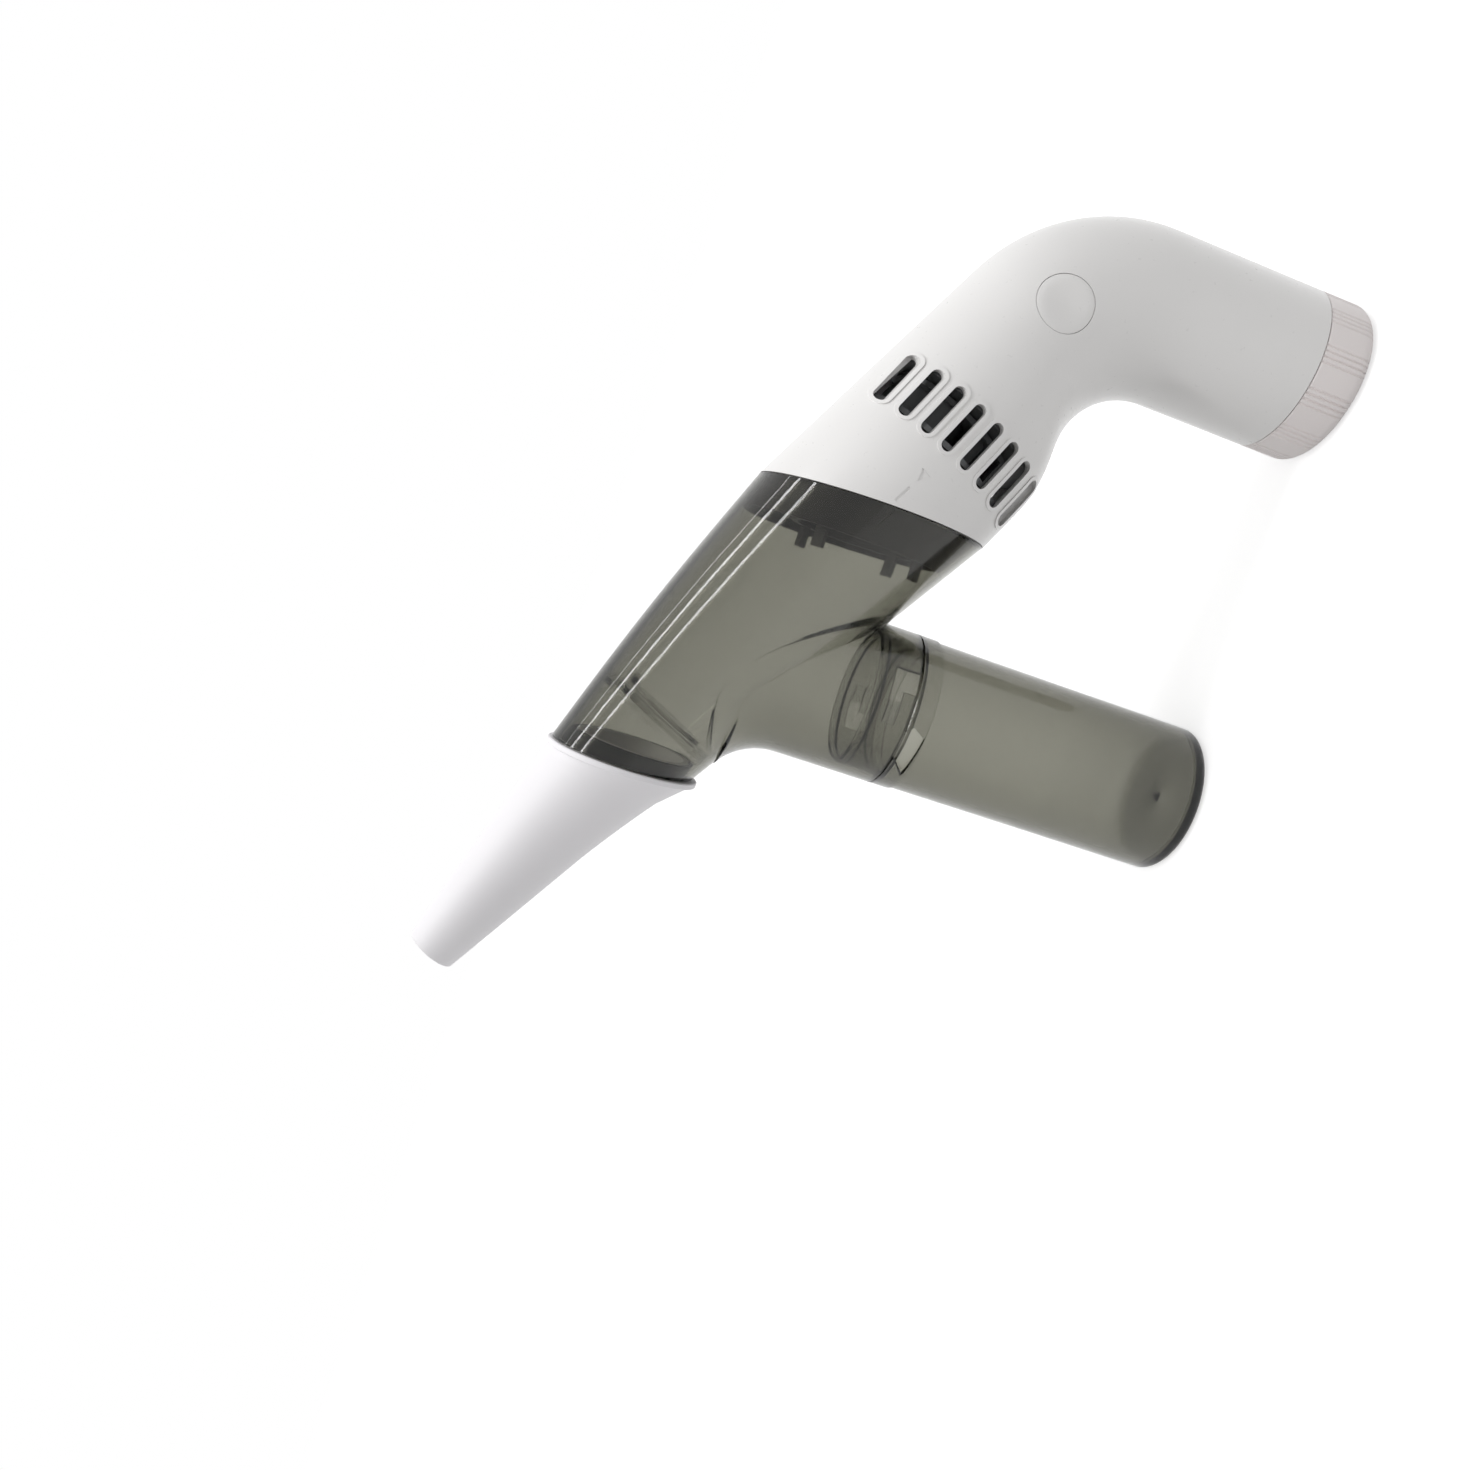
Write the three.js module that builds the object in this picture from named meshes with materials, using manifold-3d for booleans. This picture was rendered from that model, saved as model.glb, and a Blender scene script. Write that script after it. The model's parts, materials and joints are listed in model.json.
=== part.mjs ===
// Hand-held insect aspirator: a battery suction tool with a clear collecting chamber.
// It stands on its battery cap and on its collecting tube. Millimetres, +Z up.
// X runs from the nozzle to the handle, and the plane y = 0 is the plane of symmetry.
import * as THREE from 'three';
import { mergeVertices } from 'three/addons/utils/BufferGeometryUtils.js';
import Module from 'manifold-3d';

const wasm = await Module();
wasm.setup();

// Overall places
const SEAM_X = 41.6;
const SEAM_Z = 93.9;
const SEAM_RADIUS = 27.1;
const MOUTH_X = -30.5;
const MOUTH_Z = 130.4;
const MOUTH_RADIUS = 17;
const BODY_TILT = 24.5;
const GAP = 0.3;
const OVERRUN = 1;
const ROUND_STEPS = 24;
const INNER_STEPS = 16;
const SMALL_STEPS = 8;
const SEAL_SIDES = 5;
const SLOT_STEPS = 3;
const HALF_TURN = 180;
const FULL_TURN = 360;

// Housing, made of two half shells that meet on the plane of symmetry
const WALL = 2;
const HANDLE_RADIUS = 18.9;
const HANDLE_CLEARANCE = 12.74;
const RIDGE_SLOPE = 28.3;
const RIDGE_BEND = 45;
const BELLY_SLOPE = 26;
const BELLY_LENGTH = 17.5;
const BELLY_BEND = 25;
const ARMPIT_Z = 59.4;
const ARMPIT_BEND = 19.5;
const FAN_PIVOT_Z = 40;
const HOUSING_STEPS = 9;
const OUTLINE_STEPS = 6;

// Vents on both flanks of the drum
const VENT_COUNT = 8;
const VENT_LENGTH = 13;
const VENT_WIDTH = 2.8;
const VENT_ROW = 21.6;
const VENT_ROW_HEIGHT = 38.8;
const VENT_ROW_DROP = 1.3;
const VENT_LEAN = 1.3;

// Two shallow grooves on the near side that line up when the chamber is locked
const MARK_ANGLE = 29.7;
const MARK_WIDTH = 0.7;
const MARK_DEPTH = 0.3;
const HOUSING_MARK = { length: 4.1, reach: 2.9, rise: 0.5 };
const CHAMBER_MARK = { length: 4.9, reach: -3, rise: 2.3 };

// Housing screws and their bosses
const BOSS_RADIUS = 3.2;
const SCREW_RADIUS = 1.1;
const SCREW_HEAD_RADIUS = 2.1;
const SCREW_HEAD_HEIGHT = 1.4;
const SCREW_SINK = 5;
const SCREW_REACH = 9;
const RIDGE_SCREW_REACH = 36.9;
const RIDGE_SCREW_Z = 95.2;
const BELLY_SCREW_REACH = 26.4;
const BELLY_SCREW_Z = 65.3;
const BEND_SCREW_OFFSET = 7;
const BEND_SCREW_Z = 69;
const GRIP_SCREW_STEP = 5.9;
const GRIP_SCREW_Z = 26;

// Battery cap on its neck, with a bayonet
const CAP_HEIGHT = 12.5;
const CAP_WALL = 2;
const CAP_FLOOR = 2.4;
const CAP_EDGE = 3;
const CAP_EDGE_STEPS = 2;
const CAP_GROUPS = 12;
const CAP_LINES = 4;
const CAP_GROUP_START = 3;
const CAP_LINE_PITCH = 3.9;
const CAP_LINE_DEPTH = 0.4;
const NECK_FOOT = 4.6;
const NECK_STEP = 2.4;
const NECK_WALL = 0.8;
const NECK_LEDGE = 3.2;
const CAP_LUG_RISE = 0.9;
const CAP_LUG_HEIGHT = 1.6;
const CAP_LUG_Z = 6;
const CAP_LUG_ANGLE = 14;
const CAP_TRAVEL = 30;
const CAP_SEAL_WIDTH = 0.8;
const CAP_SEAL_THICK = 0.8;
const SEAL_SECTION = 0.6;
const SEAL_SINK = 0.5;

// Cells, carrier and contacts
const CELL_PLAY = 0.4;
const CELL_LENGTH = 49.2;
const CELL_NUB_RADIUS = 2.7;
const CELL_NUB_HEIGHT = 1.3;
const CELL_FOOT = 6.6;
const CARRIER_FOOT = 17;
const CARRIER_WEB = 1.2;
const CARRIER_PLAY = 0.1;
const CARRIER_TOP = 1.6;
const CARRIER_RING = 2.4;
const CONTACT_THICK = 0.5;
const CONTACT_RADIUS = 4.2;
const CAP_CONTACT_STEP = 2.5;
const CAP_CONTACT_THICK = 0.7;

// Motor, cradle and fan, all on the drum's axis
const FAN_REACH = 23;
const MOTOR_RADIUS = 10;
const MOTOR_FLAT = 7.55;
const MOTOR_FRONT = 6.5;
const MOTOR_LENGTH = 19.6;
const MOTOR_BELL = 4.4;
const MOTOR_BOSS_RADIUS = 3;
const MOTOR_BOSS_HEIGHT = 1.6;
const TERMINAL_WIDTH = 1.8;
const TERMINAL_THICK = 0.5;
const TERMINAL_LENGTH = 2.4;
const SHAFT_RADIUS = 1;
const SHAFT_CLEARANCE = 0.2;
const CRADLE_PLATE = 1.6;
const CRADLE_REAR = 14;
const CRADLE_RAIL = 2.4;
const IMPELLER_STEP = 10.1;
const IMPELLER_HALF = 4;
const IMPELLER_DISC = 1.2;
const HUB_RADIUS = 3.4;
const BLADE_COUNT = 9;
const BLADE_ROOT = 5.2;
const BLADE_THICK = 1.1;
const BLADE_SWEEP = 42;
const BLADE_STEPS = 3;
const INLET_GAP = 1.4;
const INLET_PLATE = 1.2;
const INLET_EYE = 8.5;

// Switch and its dished button, on the near shell
const BUTTON_OFFSET = 10.5;
const BUTTON_Z = 72.8;
const BUTTON_RADIUS = 6.5;
const BUTTON_SINK = 0.2;
const BUTTON_DISH = 0.7;
const BUTTON_DISH_RADIUS = 5.4;
const DISH_SHARE = 0.75;
const BUTTON_TRAVEL = 1.4;
const BUTTON_SKIRT_RISE = 0.8;
const BUTTON_SKIRT = 1;
const BUTTON_STEM = 1.5;
const SWITCH_SIZE = 8.2;
const SWITCH_CLEARANCE = 1.35;
const SWITCH_SOCKET = 1.4;
const SWITCH_STEM_GAP = 2.2;

// Dark coupling ring between the housing and the chamber
const SPIGOT_STEP = 7.9;
const SPIGOT_WALL = 1.9;
const SPIGOT_LENGTH = 6;
const FLANGE_THICK = 2.4;
const RING_LUGS = 4;
const RING_LUG_RISE = 1.3;
const RING_LUG_HEIGHT = 1.9;
const RING_LUG_ANGLE = 16;
const CHAMBER_TRAVEL = 20;
const CHAMBER_LIP = 2.5;
const COLLAR_LENGTH = 8.6;
const COLLAR_WALL = 0.8;

// Filter held in the coupling ring
const FRAME_WALL = 1.7;
const FRAME_LENGTH = 9.6;
const FRAME_TABS = 4;
const FRAME_TAB_REACH = 5;
const FRAME_TAB_ANGLE = 10;
const FRAME_TAB_START = 45;
const FRAME_LEDGE = 1.2;
const FRAME_LEDGE_THICK = 1;
const MESH_THICK = 0.6;
const MESH_PITCH = 5;
const MESH_HOLE = 3.8;
const MESH_RIM = 1.6;

// Smoke chamber with its spout
const CHAMBER_WALL = 1.9;
const CHAMBER_BULGE = 0.9;
const CHAMBER_STEPS = 3;
const SPOUT_RADIUS = 18.5;
const SPOUT_FOOT = 73.9;
const SPOUT_FILLET = 15.5;
const SPOUT_RISE = 4;

// Collecting tube with its bayonet neck
const TUBE_FOOT_RADIUS = 18.05;
const TUBE_WALL = 1.6;
const TUBE_FLOOR = 2;
const TUBE_EDGE = 3;
const TUBE_EDGE_STEPS = 2;
const TUBE_COLLAR = 5.1;
const TUBE_COLLAR_GROOVE = 0.35;
const TUBE_NECK_HEIGHT = 9.5;
const TUBE_NECK_WALL = 1.6;
const TUBE_LUG_RISE = 0.9;
const TUBE_LUG_HEIGHT = 2.4;
const TUBE_LUG_ANGLE = 16;
const TUBE_LUG_FOOT = 3;
const TUBE_TRAVEL = 25;
const TUBE_SEAL_DROP = 1.9;
const GATE_RADIUS = 1.2;
const GATE_HEIGHT = 0.5;

// Nozzle with its flared mouth and the flange round it
const NOZZLE_LENGTH = 56.2;
const NOZZLE_TIP_RADIUS = 6.1;
const NOZZLE_ROOT_RADIUS = 13.3;
const NOZZLE_WALL = 1.6;
const NOZZLE_LIP = 1.3;
const NOZZLE_LIP_TOP = 0.9;
const NOZZLE_LIP_THICK = 1.4;
const NOZZLE_FLARE_STEPS = 4;
const NOZZLE_FLARE_SHARE = 0.68;
const NOZZLE_SPIGOT = 3.6;
const NOZZLE_SEAL = 0.8;

// Inlet seat and its hanging flap
const SEAT_STEP = 1.25;
const SEAT_RIM = 1.4;
const SEAT_WALL = 1.6;
const SEAT_PLATE = 1.4;
const SEAT_LEDGE = 8;
const FLAP_MARGIN = 1.3;
const FLAP_THICK = 1;
const FLAP_PIN_RADIUS = 0.8;
const FLAP_BARREL = 1.7;
const FLAP_BARREL_HALF = 5;
const FLAP_EAR = 1.6;
const FLAP_LIFT = 1.9;

// Leads inside the housing, and how far each part of their routes runs
const LEAD_RADIUS = 0.6;
const LEAD_SIDES = 6;
const LEAD_STEPS = 10;
const LEAD_GAP = 0.5;
const LEAD_RISE = 2.6;
const LEAD_BOW = 3;
const LEAD_SWING = 5;

const radians = THREE.MathUtils.degToRad;

// The drum's own axis carries the fan and the motor, and the handle stands behind the motor
const fanX = SEAM_X + FAN_REACH * Math.cos(radians(BODY_TILT));
const fanZ = SEAM_Z - FAN_REACH * Math.sin(radians(BODY_TILT));
const motorBack = MOTOR_FRONT + MOTOR_LENGTH;
const motorEnd = motorBack + GAP / 3 + MOTOR_BELL + TERMINAL_LENGTH;
const handleX = fanX + motorEnd * Math.cos(radians(BODY_TILT)) + HANDLE_CLEARANCE;

// Sizes that follow from the housing's own
const neckOuter = HANDLE_RADIUS - NECK_STEP;
const neckInner = neckOuter - NECK_WALL;
const carrierRadius = HANDLE_RADIUS - WALL - GAP - CARRIER_PLAY;
const cellRadius = (neckInner - CARRIER_WEB / 2 - 2 * CELL_PLAY) / 2;
const gripScrewReach = HANDLE_RADIUS - GRIP_SCREW_STEP;
const buttonX = handleX - BUTTON_OFFSET;
const switchFace = HANDLE_RADIUS - WALL - SWITCH_STEM_GAP - BUTTON_TRAVEL;
const switchDepth = switchFace - MOTOR_FLAT - SWITCH_CLEARANCE;
const impellerRadius = SEAM_RADIUS - IMPELLER_STEP;
const spigotRadius = SEAM_RADIUS - SPIGOT_STEP;
const spigotInner = spigotRadius - SPIGOT_WALL;
const tubeNeck = SPOUT_RADIUS - CHAMBER_WALL - GAP;
const seatBore = MOUTH_RADIUS - SEAT_LEDGE;

// Solids from geometry

function toSolid(geometry) {
  const bare = geometry.clone();
  bare.deleteAttribute('normal');
  bare.deleteAttribute('uv');
  const merged = mergeVertices(bare);
  const places = merged.attributes.position.array;
  const corners = merged.index.array;
  const kept = [];
  let volume = 0;
  for (let start = 0; start < corners.length; start += 3) {
    const [a, b, c] = corners.slice(start, start + 3);
    if (a === b || b === c || c === a) continue;
    kept.push(a, b, c);
    const [p, q, r] = [a, b, c].map((corner) => new THREE.Vector3().fromArray(places, corner * 3));
    volume += p.dot(q.cross(r));
  }
  if (volume < 0) kept.reverse();
  return new wasm.Manifold(new wasm.Mesh({
    numProp: 3,
    vertProperties: Float32Array.from(places),
    triVerts: Uint32Array.from(kept),
  }));
}

function toGeometry(solid) {
  const made = solid.getMesh();
  const geometry = new THREE.BufferGeometry();
  geometry.setAttribute('position', new THREE.BufferAttribute(made.vertProperties, 3));
  geometry.setIndex(new THREE.BufferAttribute(made.triVerts, 1));
  geometry.computeVertexNormals();
  return geometry;
}

function joined(solids) {
  return solids.reduce((whole, next) => whole.add(next));
}

// Rings of points joined into one closed skin, with flat ends
function skin(rings) {
  const count = rings[0].length;
  const places = rings.flat().flatMap((point) => point.toArray());
  const corners = [];
  for (let row = 0; row + 1 < rings.length; row += 1) {
    for (let step = 0; step < count; step += 1) {
      const next = (step + 1) % count;
      const here = row * count;
      const above = here + count;
      corners.push(here + step, here + next, above + next);
      corners.push(here + step, above + next, above + step);
    }
  }
  for (const [row, flip] of [[0, true], [rings.length - 1, false]]) {
    const centre = places.length / 3;
    const middle = new THREE.Vector3();
    rings[row].forEach((point) => middle.addScaledVector(point, 1 / count));
    places.push(...middle.toArray());
    for (let step = 0; step < count; step += 1) {
      const next = (step + 1) % count;
      const edge = [row * count + step, row * count + next];
      corners.push(centre, ...(flip ? edge.reverse() : edge));
    }
  }
  const geometry = new THREE.BufferGeometry();
  geometry.setAttribute('position', new THREE.Float32BufferAttribute(places, 3));
  geometry.setIndex(corners);
  return toSolid(geometry);
}

// An oval ring between an upper and a lower point of the plane of symmetry
function ovalRing(upper, lower, side, count = ROUND_STEPS) {
  const points = [];
  for (let step = 0; step < count; step += 1) {
    const turn = (step / count) * Math.PI * 2;
    const share = (1 + Math.cos(turn)) / 2;
    const spot = new THREE.Vector2().lerpVectors(lower, upper, share);
    points.push(new THREE.Vector3(spot.x, -side * Math.sin(turn), spot.y));
  }
  return points;
}

// A turned solid about Z from a profile of [radius, height] points
function turned(profile, count = ROUND_STEPS) {
  const points = profile.map(([radius, height]) => new THREE.Vector2(radius, height));
  if (profile.every(([radius]) => radius > 0)) points.push(points[0].clone());
  const geometry = new THREE.LatheGeometry(points, count);
  geometry.rotateX(Math.PI / 2);
  return toSolid(geometry);
}

function rod(radius, low, high, count = SMALL_STEPS) {
  return turned([[0, low], [radius, low], [radius, high], [0, high]], count);
}

function pipe(outer, inner, low, high, count = ROUND_STEPS) {
  return turned([[inner, low], [outer, low], [outer, high], [inner, high]], count);
}

function ringSeal(radius, height) {
  const profile = [];
  for (let step = 0; step < SEAL_SIDES; step += 1) {
    const turn = (step / SEAL_SIDES) * Math.PI * 2;
    profile.push([radius + SEAL_SECTION * Math.cos(turn), height + SEAL_SECTION * Math.sin(turn)]);
  }
  return turned(profile);
}

function sealGroove(radius, height) {
  const floor = radius - SEAL_SECTION - GAP / 2;
  return pipe(radius + SEAL_SECTION * 2, floor, height - SEAL_SECTION - GAP / 2,
    height + SEAL_SECTION + GAP / 2);
}

function block(width, depth, height, x, y, z) {
  const geometry = new THREE.BoxGeometry(width, depth, height);
  geometry.translate(x, y, z);
  return toSolid(geometry);
}

function pressed(shape, low, high, curveSteps = ROUND_STEPS) {
  const settings = { depth: high - low, bevelEnabled: false, curveSegments: curveSteps };
  const geometry = new THREE.ExtrudeGeometry(shape, settings);
  geometry.translate(0, 0, low);
  return toSolid(geometry);
}

// A sector of a ring about Z, from one angle to another in degrees
function sector(inner, outer, from, to, low, high) {
  const shape = new THREE.Shape();
  const steps = Math.ceil(((to - from) / FULL_TURN) * ROUND_STEPS);
  shape.absarc(0, 0, outer, radians(from), radians(to), false);
  shape.absarc(0, 0, inner, radians(to), radians(from), true);
  return pressed(shape, low, high, steps);
}

// Moves a solid made about Z to a place in the plane of symmetry, with +Z turned to an angle
// above +X in degrees
function setAlong(solid, x, z, angle) {
  const matrix = alongMatrix(x, z, angle);
  return solid.transform(matrix.elements);
}

function alongMatrix(x, z, angle) {
  const matrix = new THREE.Matrix4().makeRotationY(Math.PI / 2 - radians(angle));
  return matrix.setPosition(x, 0, z);
}

// Turns a solid made about Z onto the Y axis at a place, pointing to the far side, or with
// side -1 to the near one
function setAcross(solid, x, z, side = 1) {
  const matrix = new THREE.Matrix4().makeRotationX((-side * Math.PI) / 2);
  return solid.transform(matrix.setPosition(x, 0, z).elements);
}

function onSpot(solid, x, y, z) {
  return solid.transform(new THREE.Matrix4().makeTranslation(x, y, z).elements);
}

// Bayonet slots about Z: a pocket for each lug and its way out to the rim
function bayonetSlots({ inner, outer, count, start, lug, travel, low, high, rim }) {
  const play = (GAP / outer) * (HALF_TURN / Math.PI);
  const slots = [];
  for (let place = 0; place < count; place += 1) {
    const rest = start + (place / count) * FULL_TURN;
    const ends = [rest, rest + travel].sort((a, b) => a - b);
    const half = lug / 2 + play;
    const [from, to] = [Math.min(low, high, rim), Math.max(low, high, rim)];
    slots.push(sector(inner, outer, ends[0] - half, ends[1] + half, low - GAP, high + GAP));
    slots.push(sector(inner, outer, rest + travel - half, rest + travel + half, from, to));
  }
  return joined(slots);
}

function lugRing({ inner, outer, count, start, lug, low, high }) {
  const lugs = [];
  for (let place = 0; place < count; place += 1) {
    const rest = start + (place / count) * FULL_TURN;
    lugs.push(sector(inner, outer, rest - lug / 2, rest + lug / 2, low, high));
  }
  return joined(lugs);
}

// Outlines in the plane of symmetry

// A line through corners, each inner corner rounded by its radius
function roundedOutline(corners, radii) {
  const points = [corners[0]];
  for (let place = 1; place + 1 < corners.length; place += 1) {
    const corner = corners[place];
    const back = corners[place - 1].clone().sub(corner).normalize();
    const ahead = corners[place + 1].clone().sub(corner).normalize();
    const half = Math.acos(back.dot(ahead)) / 2;
    const reach = radii[place - 1] / Math.tan(half);
    const start = corner.clone().addScaledVector(back, reach);
    const finish = corner.clone().addScaledVector(ahead, reach);
    const middle = back.clone().add(ahead).normalize();
    const centre = corner.clone().addScaledVector(middle, radii[place - 1] / Math.sin(half));
    const from = start.clone().sub(centre);
    const sweep = Math.PI - half * 2;
    const turn = Math.sign(from.cross(finish.clone().sub(centre)));
    for (let step = 0; step <= OUTLINE_STEPS; step += 1) {
      const angle = (step / OUTLINE_STEPS) * sweep * turn;
      points.push(from.clone().rotateAround(new THREE.Vector2(), angle).add(centre));
    }
  }
  points.push(corners[corners.length - 1]);
  return points;
}

// Where a ray from a pivot meets an outline
function crossing(outline, pivot, angle) {
  const ray = new THREE.Vector2(Math.cos(angle), Math.sin(angle));
  for (let place = 0; place + 1 < outline.length; place += 1) {
    const start = outline[place].clone().sub(pivot);
    const finish = outline[place + 1].clone().sub(pivot);
    const before = ray.cross(start);
    const after = ray.cross(finish);
    if (before * after > 0 || start.dot(ray) < 0) continue;
    return start.lerp(finish, before / (before - after)).add(pivot);
  }
  return outline[outline.length - 1].clone();
}

const ridgeTop = new THREE.Vector2(SEAM_X, SEAM_Z + SEAM_RADIUS);
const bellyTop = new THREE.Vector2(SEAM_X, SEAM_Z - SEAM_RADIUS);
const handleBack = handleX + HANDLE_RADIUS;
const handleFront = handleX - HANDLE_RADIUS;

function ridgeOutline() {
  const drop = (handleBack - SEAM_X) * Math.tan(radians(RIDGE_SLOPE));
  const corner = new THREE.Vector2(handleBack, ridgeTop.y - drop);
  const foot = new THREE.Vector2(handleBack, CAP_HEIGHT);
  return roundedOutline([ridgeTop, corner, foot], [RIDGE_BEND]);
}

function bellyOutline() {
  const reach = radians(BELLY_SLOPE);
  const belly = bellyTop.clone();
  belly.x += BELLY_LENGTH * Math.cos(reach);
  belly.y -= BELLY_LENGTH * Math.sin(reach);
  const armpit = new THREE.Vector2(handleFront, ARMPIT_Z);
  const foot = new THREE.Vector2(handleFront, CAP_HEIGHT);
  return roundedOutline([bellyTop, belly, armpit, foot], [BELLY_BEND, ARMPIT_BEND]);
}

// Upper point, lower point and half width of each section of the housing
function housingStations() {
  const ridge = ridgeOutline();
  const belly = bellyOutline();
  const pivot = new THREE.Vector2(SEAM_X, FAN_PIVOT_Z);
  const stations = [{ upper: ridgeTop, lower: bellyTop, side: SEAM_RADIUS }];
  for (let step = 1; step <= HOUSING_STEPS; step += 1) {
    const share = step / HOUSING_STEPS;
    const angle = (1 - share) * (Math.PI / 2);
    const blend = THREE.MathUtils.smoothstep(share, 0, 1);
    const side = THREE.MathUtils.lerp(SEAM_RADIUS, HANDLE_RADIUS, blend);
    stations.push({
      upper: crossing(ridge, pivot, angle),
      lower: crossing(belly, pivot, angle),
      side,
    });
  }
  return stations;
}

// The housing's outer form, or with an inset the space inside it, past both ends
function housingForm(inset) {
  const rings = housingStations().map(({ upper, lower, side }) => {
    const inward = lower.clone().sub(upper).normalize().multiplyScalar(inset);
    const count = inset > 0 ? INNER_STEPS : ROUND_STEPS;
    return ovalRing(upper.clone().add(inward), lower.clone().sub(inward), side - inset, count);
  });
  const past = inset > 0 ? OVERRUN : 0;
  const last = rings[rings.length - 1].map((point) => point.clone().setZ(CAP_HEIGHT - past));
  const first = rings[0].map((point) => point.clone().setX(SEAM_X - past));
  return skin(past > 0 ? [first, ...rings, last] : [...rings, last]);
}

// Places of the screws, as [x, z]
const screwPlaces = [
  [SEAM_X + RIDGE_SCREW_REACH, RIDGE_SCREW_Z],
  [SEAM_X + BELLY_SCREW_REACH, BELLY_SCREW_Z],
  [handleX + BEND_SCREW_OFFSET, BEND_SCREW_Z],
  [handleX + gripScrewReach, GRIP_SCREW_Z],
  [handleX - gripScrewReach, GRIP_SCREW_Z],
];

function bosses() {
  return joined(screwPlaces.map(([x, z]) => {
    return setAcross(rod(BOSS_RADIUS, -SEAM_RADIUS, SEAM_RADIUS), x, z);
  }));
}

function screwHoles() {
  return joined(screwPlaces.map(([x, z]) => {
    const shank = rod(SCREW_RADIUS + GAP, -SCREW_REACH - GAP, SEAM_RADIUS);
    const sink = rod(SCREW_HEAD_RADIUS + GAP, SCREW_SINK - GAP, SEAM_RADIUS);
    return setAcross(shank.add(sink), x, z);
  }));
}

function onFanAxis(solid) {
  return setAlong(solid, fanX, fanZ, -BODY_TILT);
}

// A row of round-ended slots that follows the fan's rim on both flanks
function ventSlots() {
  const slots = [];
  for (let place = 0; place < VENT_COUNT; place += 1) {
    const share = place / (VENT_COUNT - 1);
    const rise = (0.5 - share) * VENT_ROW_HEIGHT - VENT_ROW_DROP;
    const shape = new THREE.Shape();
    const half = VENT_LENGTH / 2 - VENT_WIDTH / 2;
    shape.absarc(half, 0, VENT_WIDTH / 2, -Math.PI / 2, Math.PI / 2, false);
    shape.absarc(-half, 0, VENT_WIDTH / 2, Math.PI / 2, -Math.PI / 2, false);
    const slot = pressed(shape, -SEAM_RADIUS - OVERRUN, SEAM_RADIUS + OVERRUN, SLOT_STEPS);
    const upright = new THREE.Matrix4().makeRotationX(Math.PI / 2);
    const tilt = radians(BODY_TILT);
    const lean = new THREE.Matrix4().makeRotationY(tilt + radians(VENT_LEAN));
    const x = SEAM_X + VENT_ROW * Math.cos(tilt) + rise * Math.sin(tilt);
    const z = SEAM_Z - VENT_ROW * Math.sin(tilt) + rise * Math.cos(tilt);
    slots.push(slot.transform(lean.multiply(upright).setPosition(x, 0, z).elements));
  }
  return joined(slots);
}

function neck() {
  const collar = turned([
    [neckInner, NECK_FOOT],
    [neckOuter, NECK_FOOT],
    [neckOuter, CAP_HEIGHT],
    [HANDLE_RADIUS - WALL / 2, CAP_HEIGHT],
    [HANDLE_RADIUS - WALL / 2, CAP_HEIGHT + NECK_LEDGE],
    [neckInner, CAP_HEIGHT + NECK_LEDGE],
  ]);
  const lugs = lugRing({ ...capLugs, inner: neckInner + (neckOuter - neckInner) / 2 });
  return onSpot(collar.add(lugs), handleX, 0, 0);
}

const capLugs = {
  outer: neckOuter + CAP_LUG_RISE,
  count: 2,
  start: -90,
  lug: CAP_LUG_ANGLE,
  low: CAP_LUG_Z,
  high: CAP_LUG_Z + CAP_LUG_HEIGHT,
};

// The frame on the near shell that holds the switch
function switchSocket() {
  const outer = SWITCH_SIZE + 2 * (GAP + SWITCH_SOCKET);
  const inner = SWITCH_SIZE + 2 * GAP;
  const low = switchFace - switchDepth;
  const reach = SEAM_RADIUS - low;
  const centre = -low - reach / 2;
  const frame = block(outer, reach, outer, buttonX, centre, BUTTON_Z);
  return frame.subtract(block(inner, reach + OVERRUN, inner, buttonX, centre, BUTTON_Z));
}

function buttonHole() {
  const hole = rod(BUTTON_RADIUS + GAP, switchFace, SEAM_RADIUS, INNER_STEPS);
  return setAcross(hole, buttonX, BUTTON_Z, -1);
}

// A groove on the near side at a place from the seam, down to the form given
function markGroove({ length, reach, rise }, form) {
  const bar = block(length, MARK_WIDTH, SEAM_RADIUS, 0, 0, SEAM_RADIUS);
  const lean = new THREE.Matrix4().makeRotationZ(-radians(MARK_ANGLE));
  const placed = setAcross(bar.transform(lean.elements), SEAM_X + reach, SEAM_Z + rise, -1);
  return placed.subtract(form);
}

function halfSpace(sign) {
  const reach = handleX * 3;
  return block(reach, reach, reach, 0, (sign * reach) / 2, 0);
}

function shells() {
  const outer = housingForm(0);
  const inner = housingForm(WALL);
  const wall = outer.subtract(inner).add(bosses().intersect(outer)).add(neck());
  const cut = wall.subtract(ventSlots()).subtract(screwHoles());
  const socket = switchSocket().intersect(outer);
  const mark = markGroove(HOUSING_MARK, housingForm(MARK_DEPTH));
  const near = cut.intersect(halfSpace(-1)).add(socket).subtract(buttonHole()).subtract(mark);
  const far = cut.intersect(halfSpace(1));
  return { near, far };
}

// Screws

function screw() {
  const head = rod(SCREW_HEAD_RADIUS, SCREW_SINK, SCREW_SINK + SCREW_HEAD_HEIGHT);
  return head.add(rod(SCREW_RADIUS, -SCREW_REACH, SCREW_SINK));
}

// Battery cap

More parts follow.
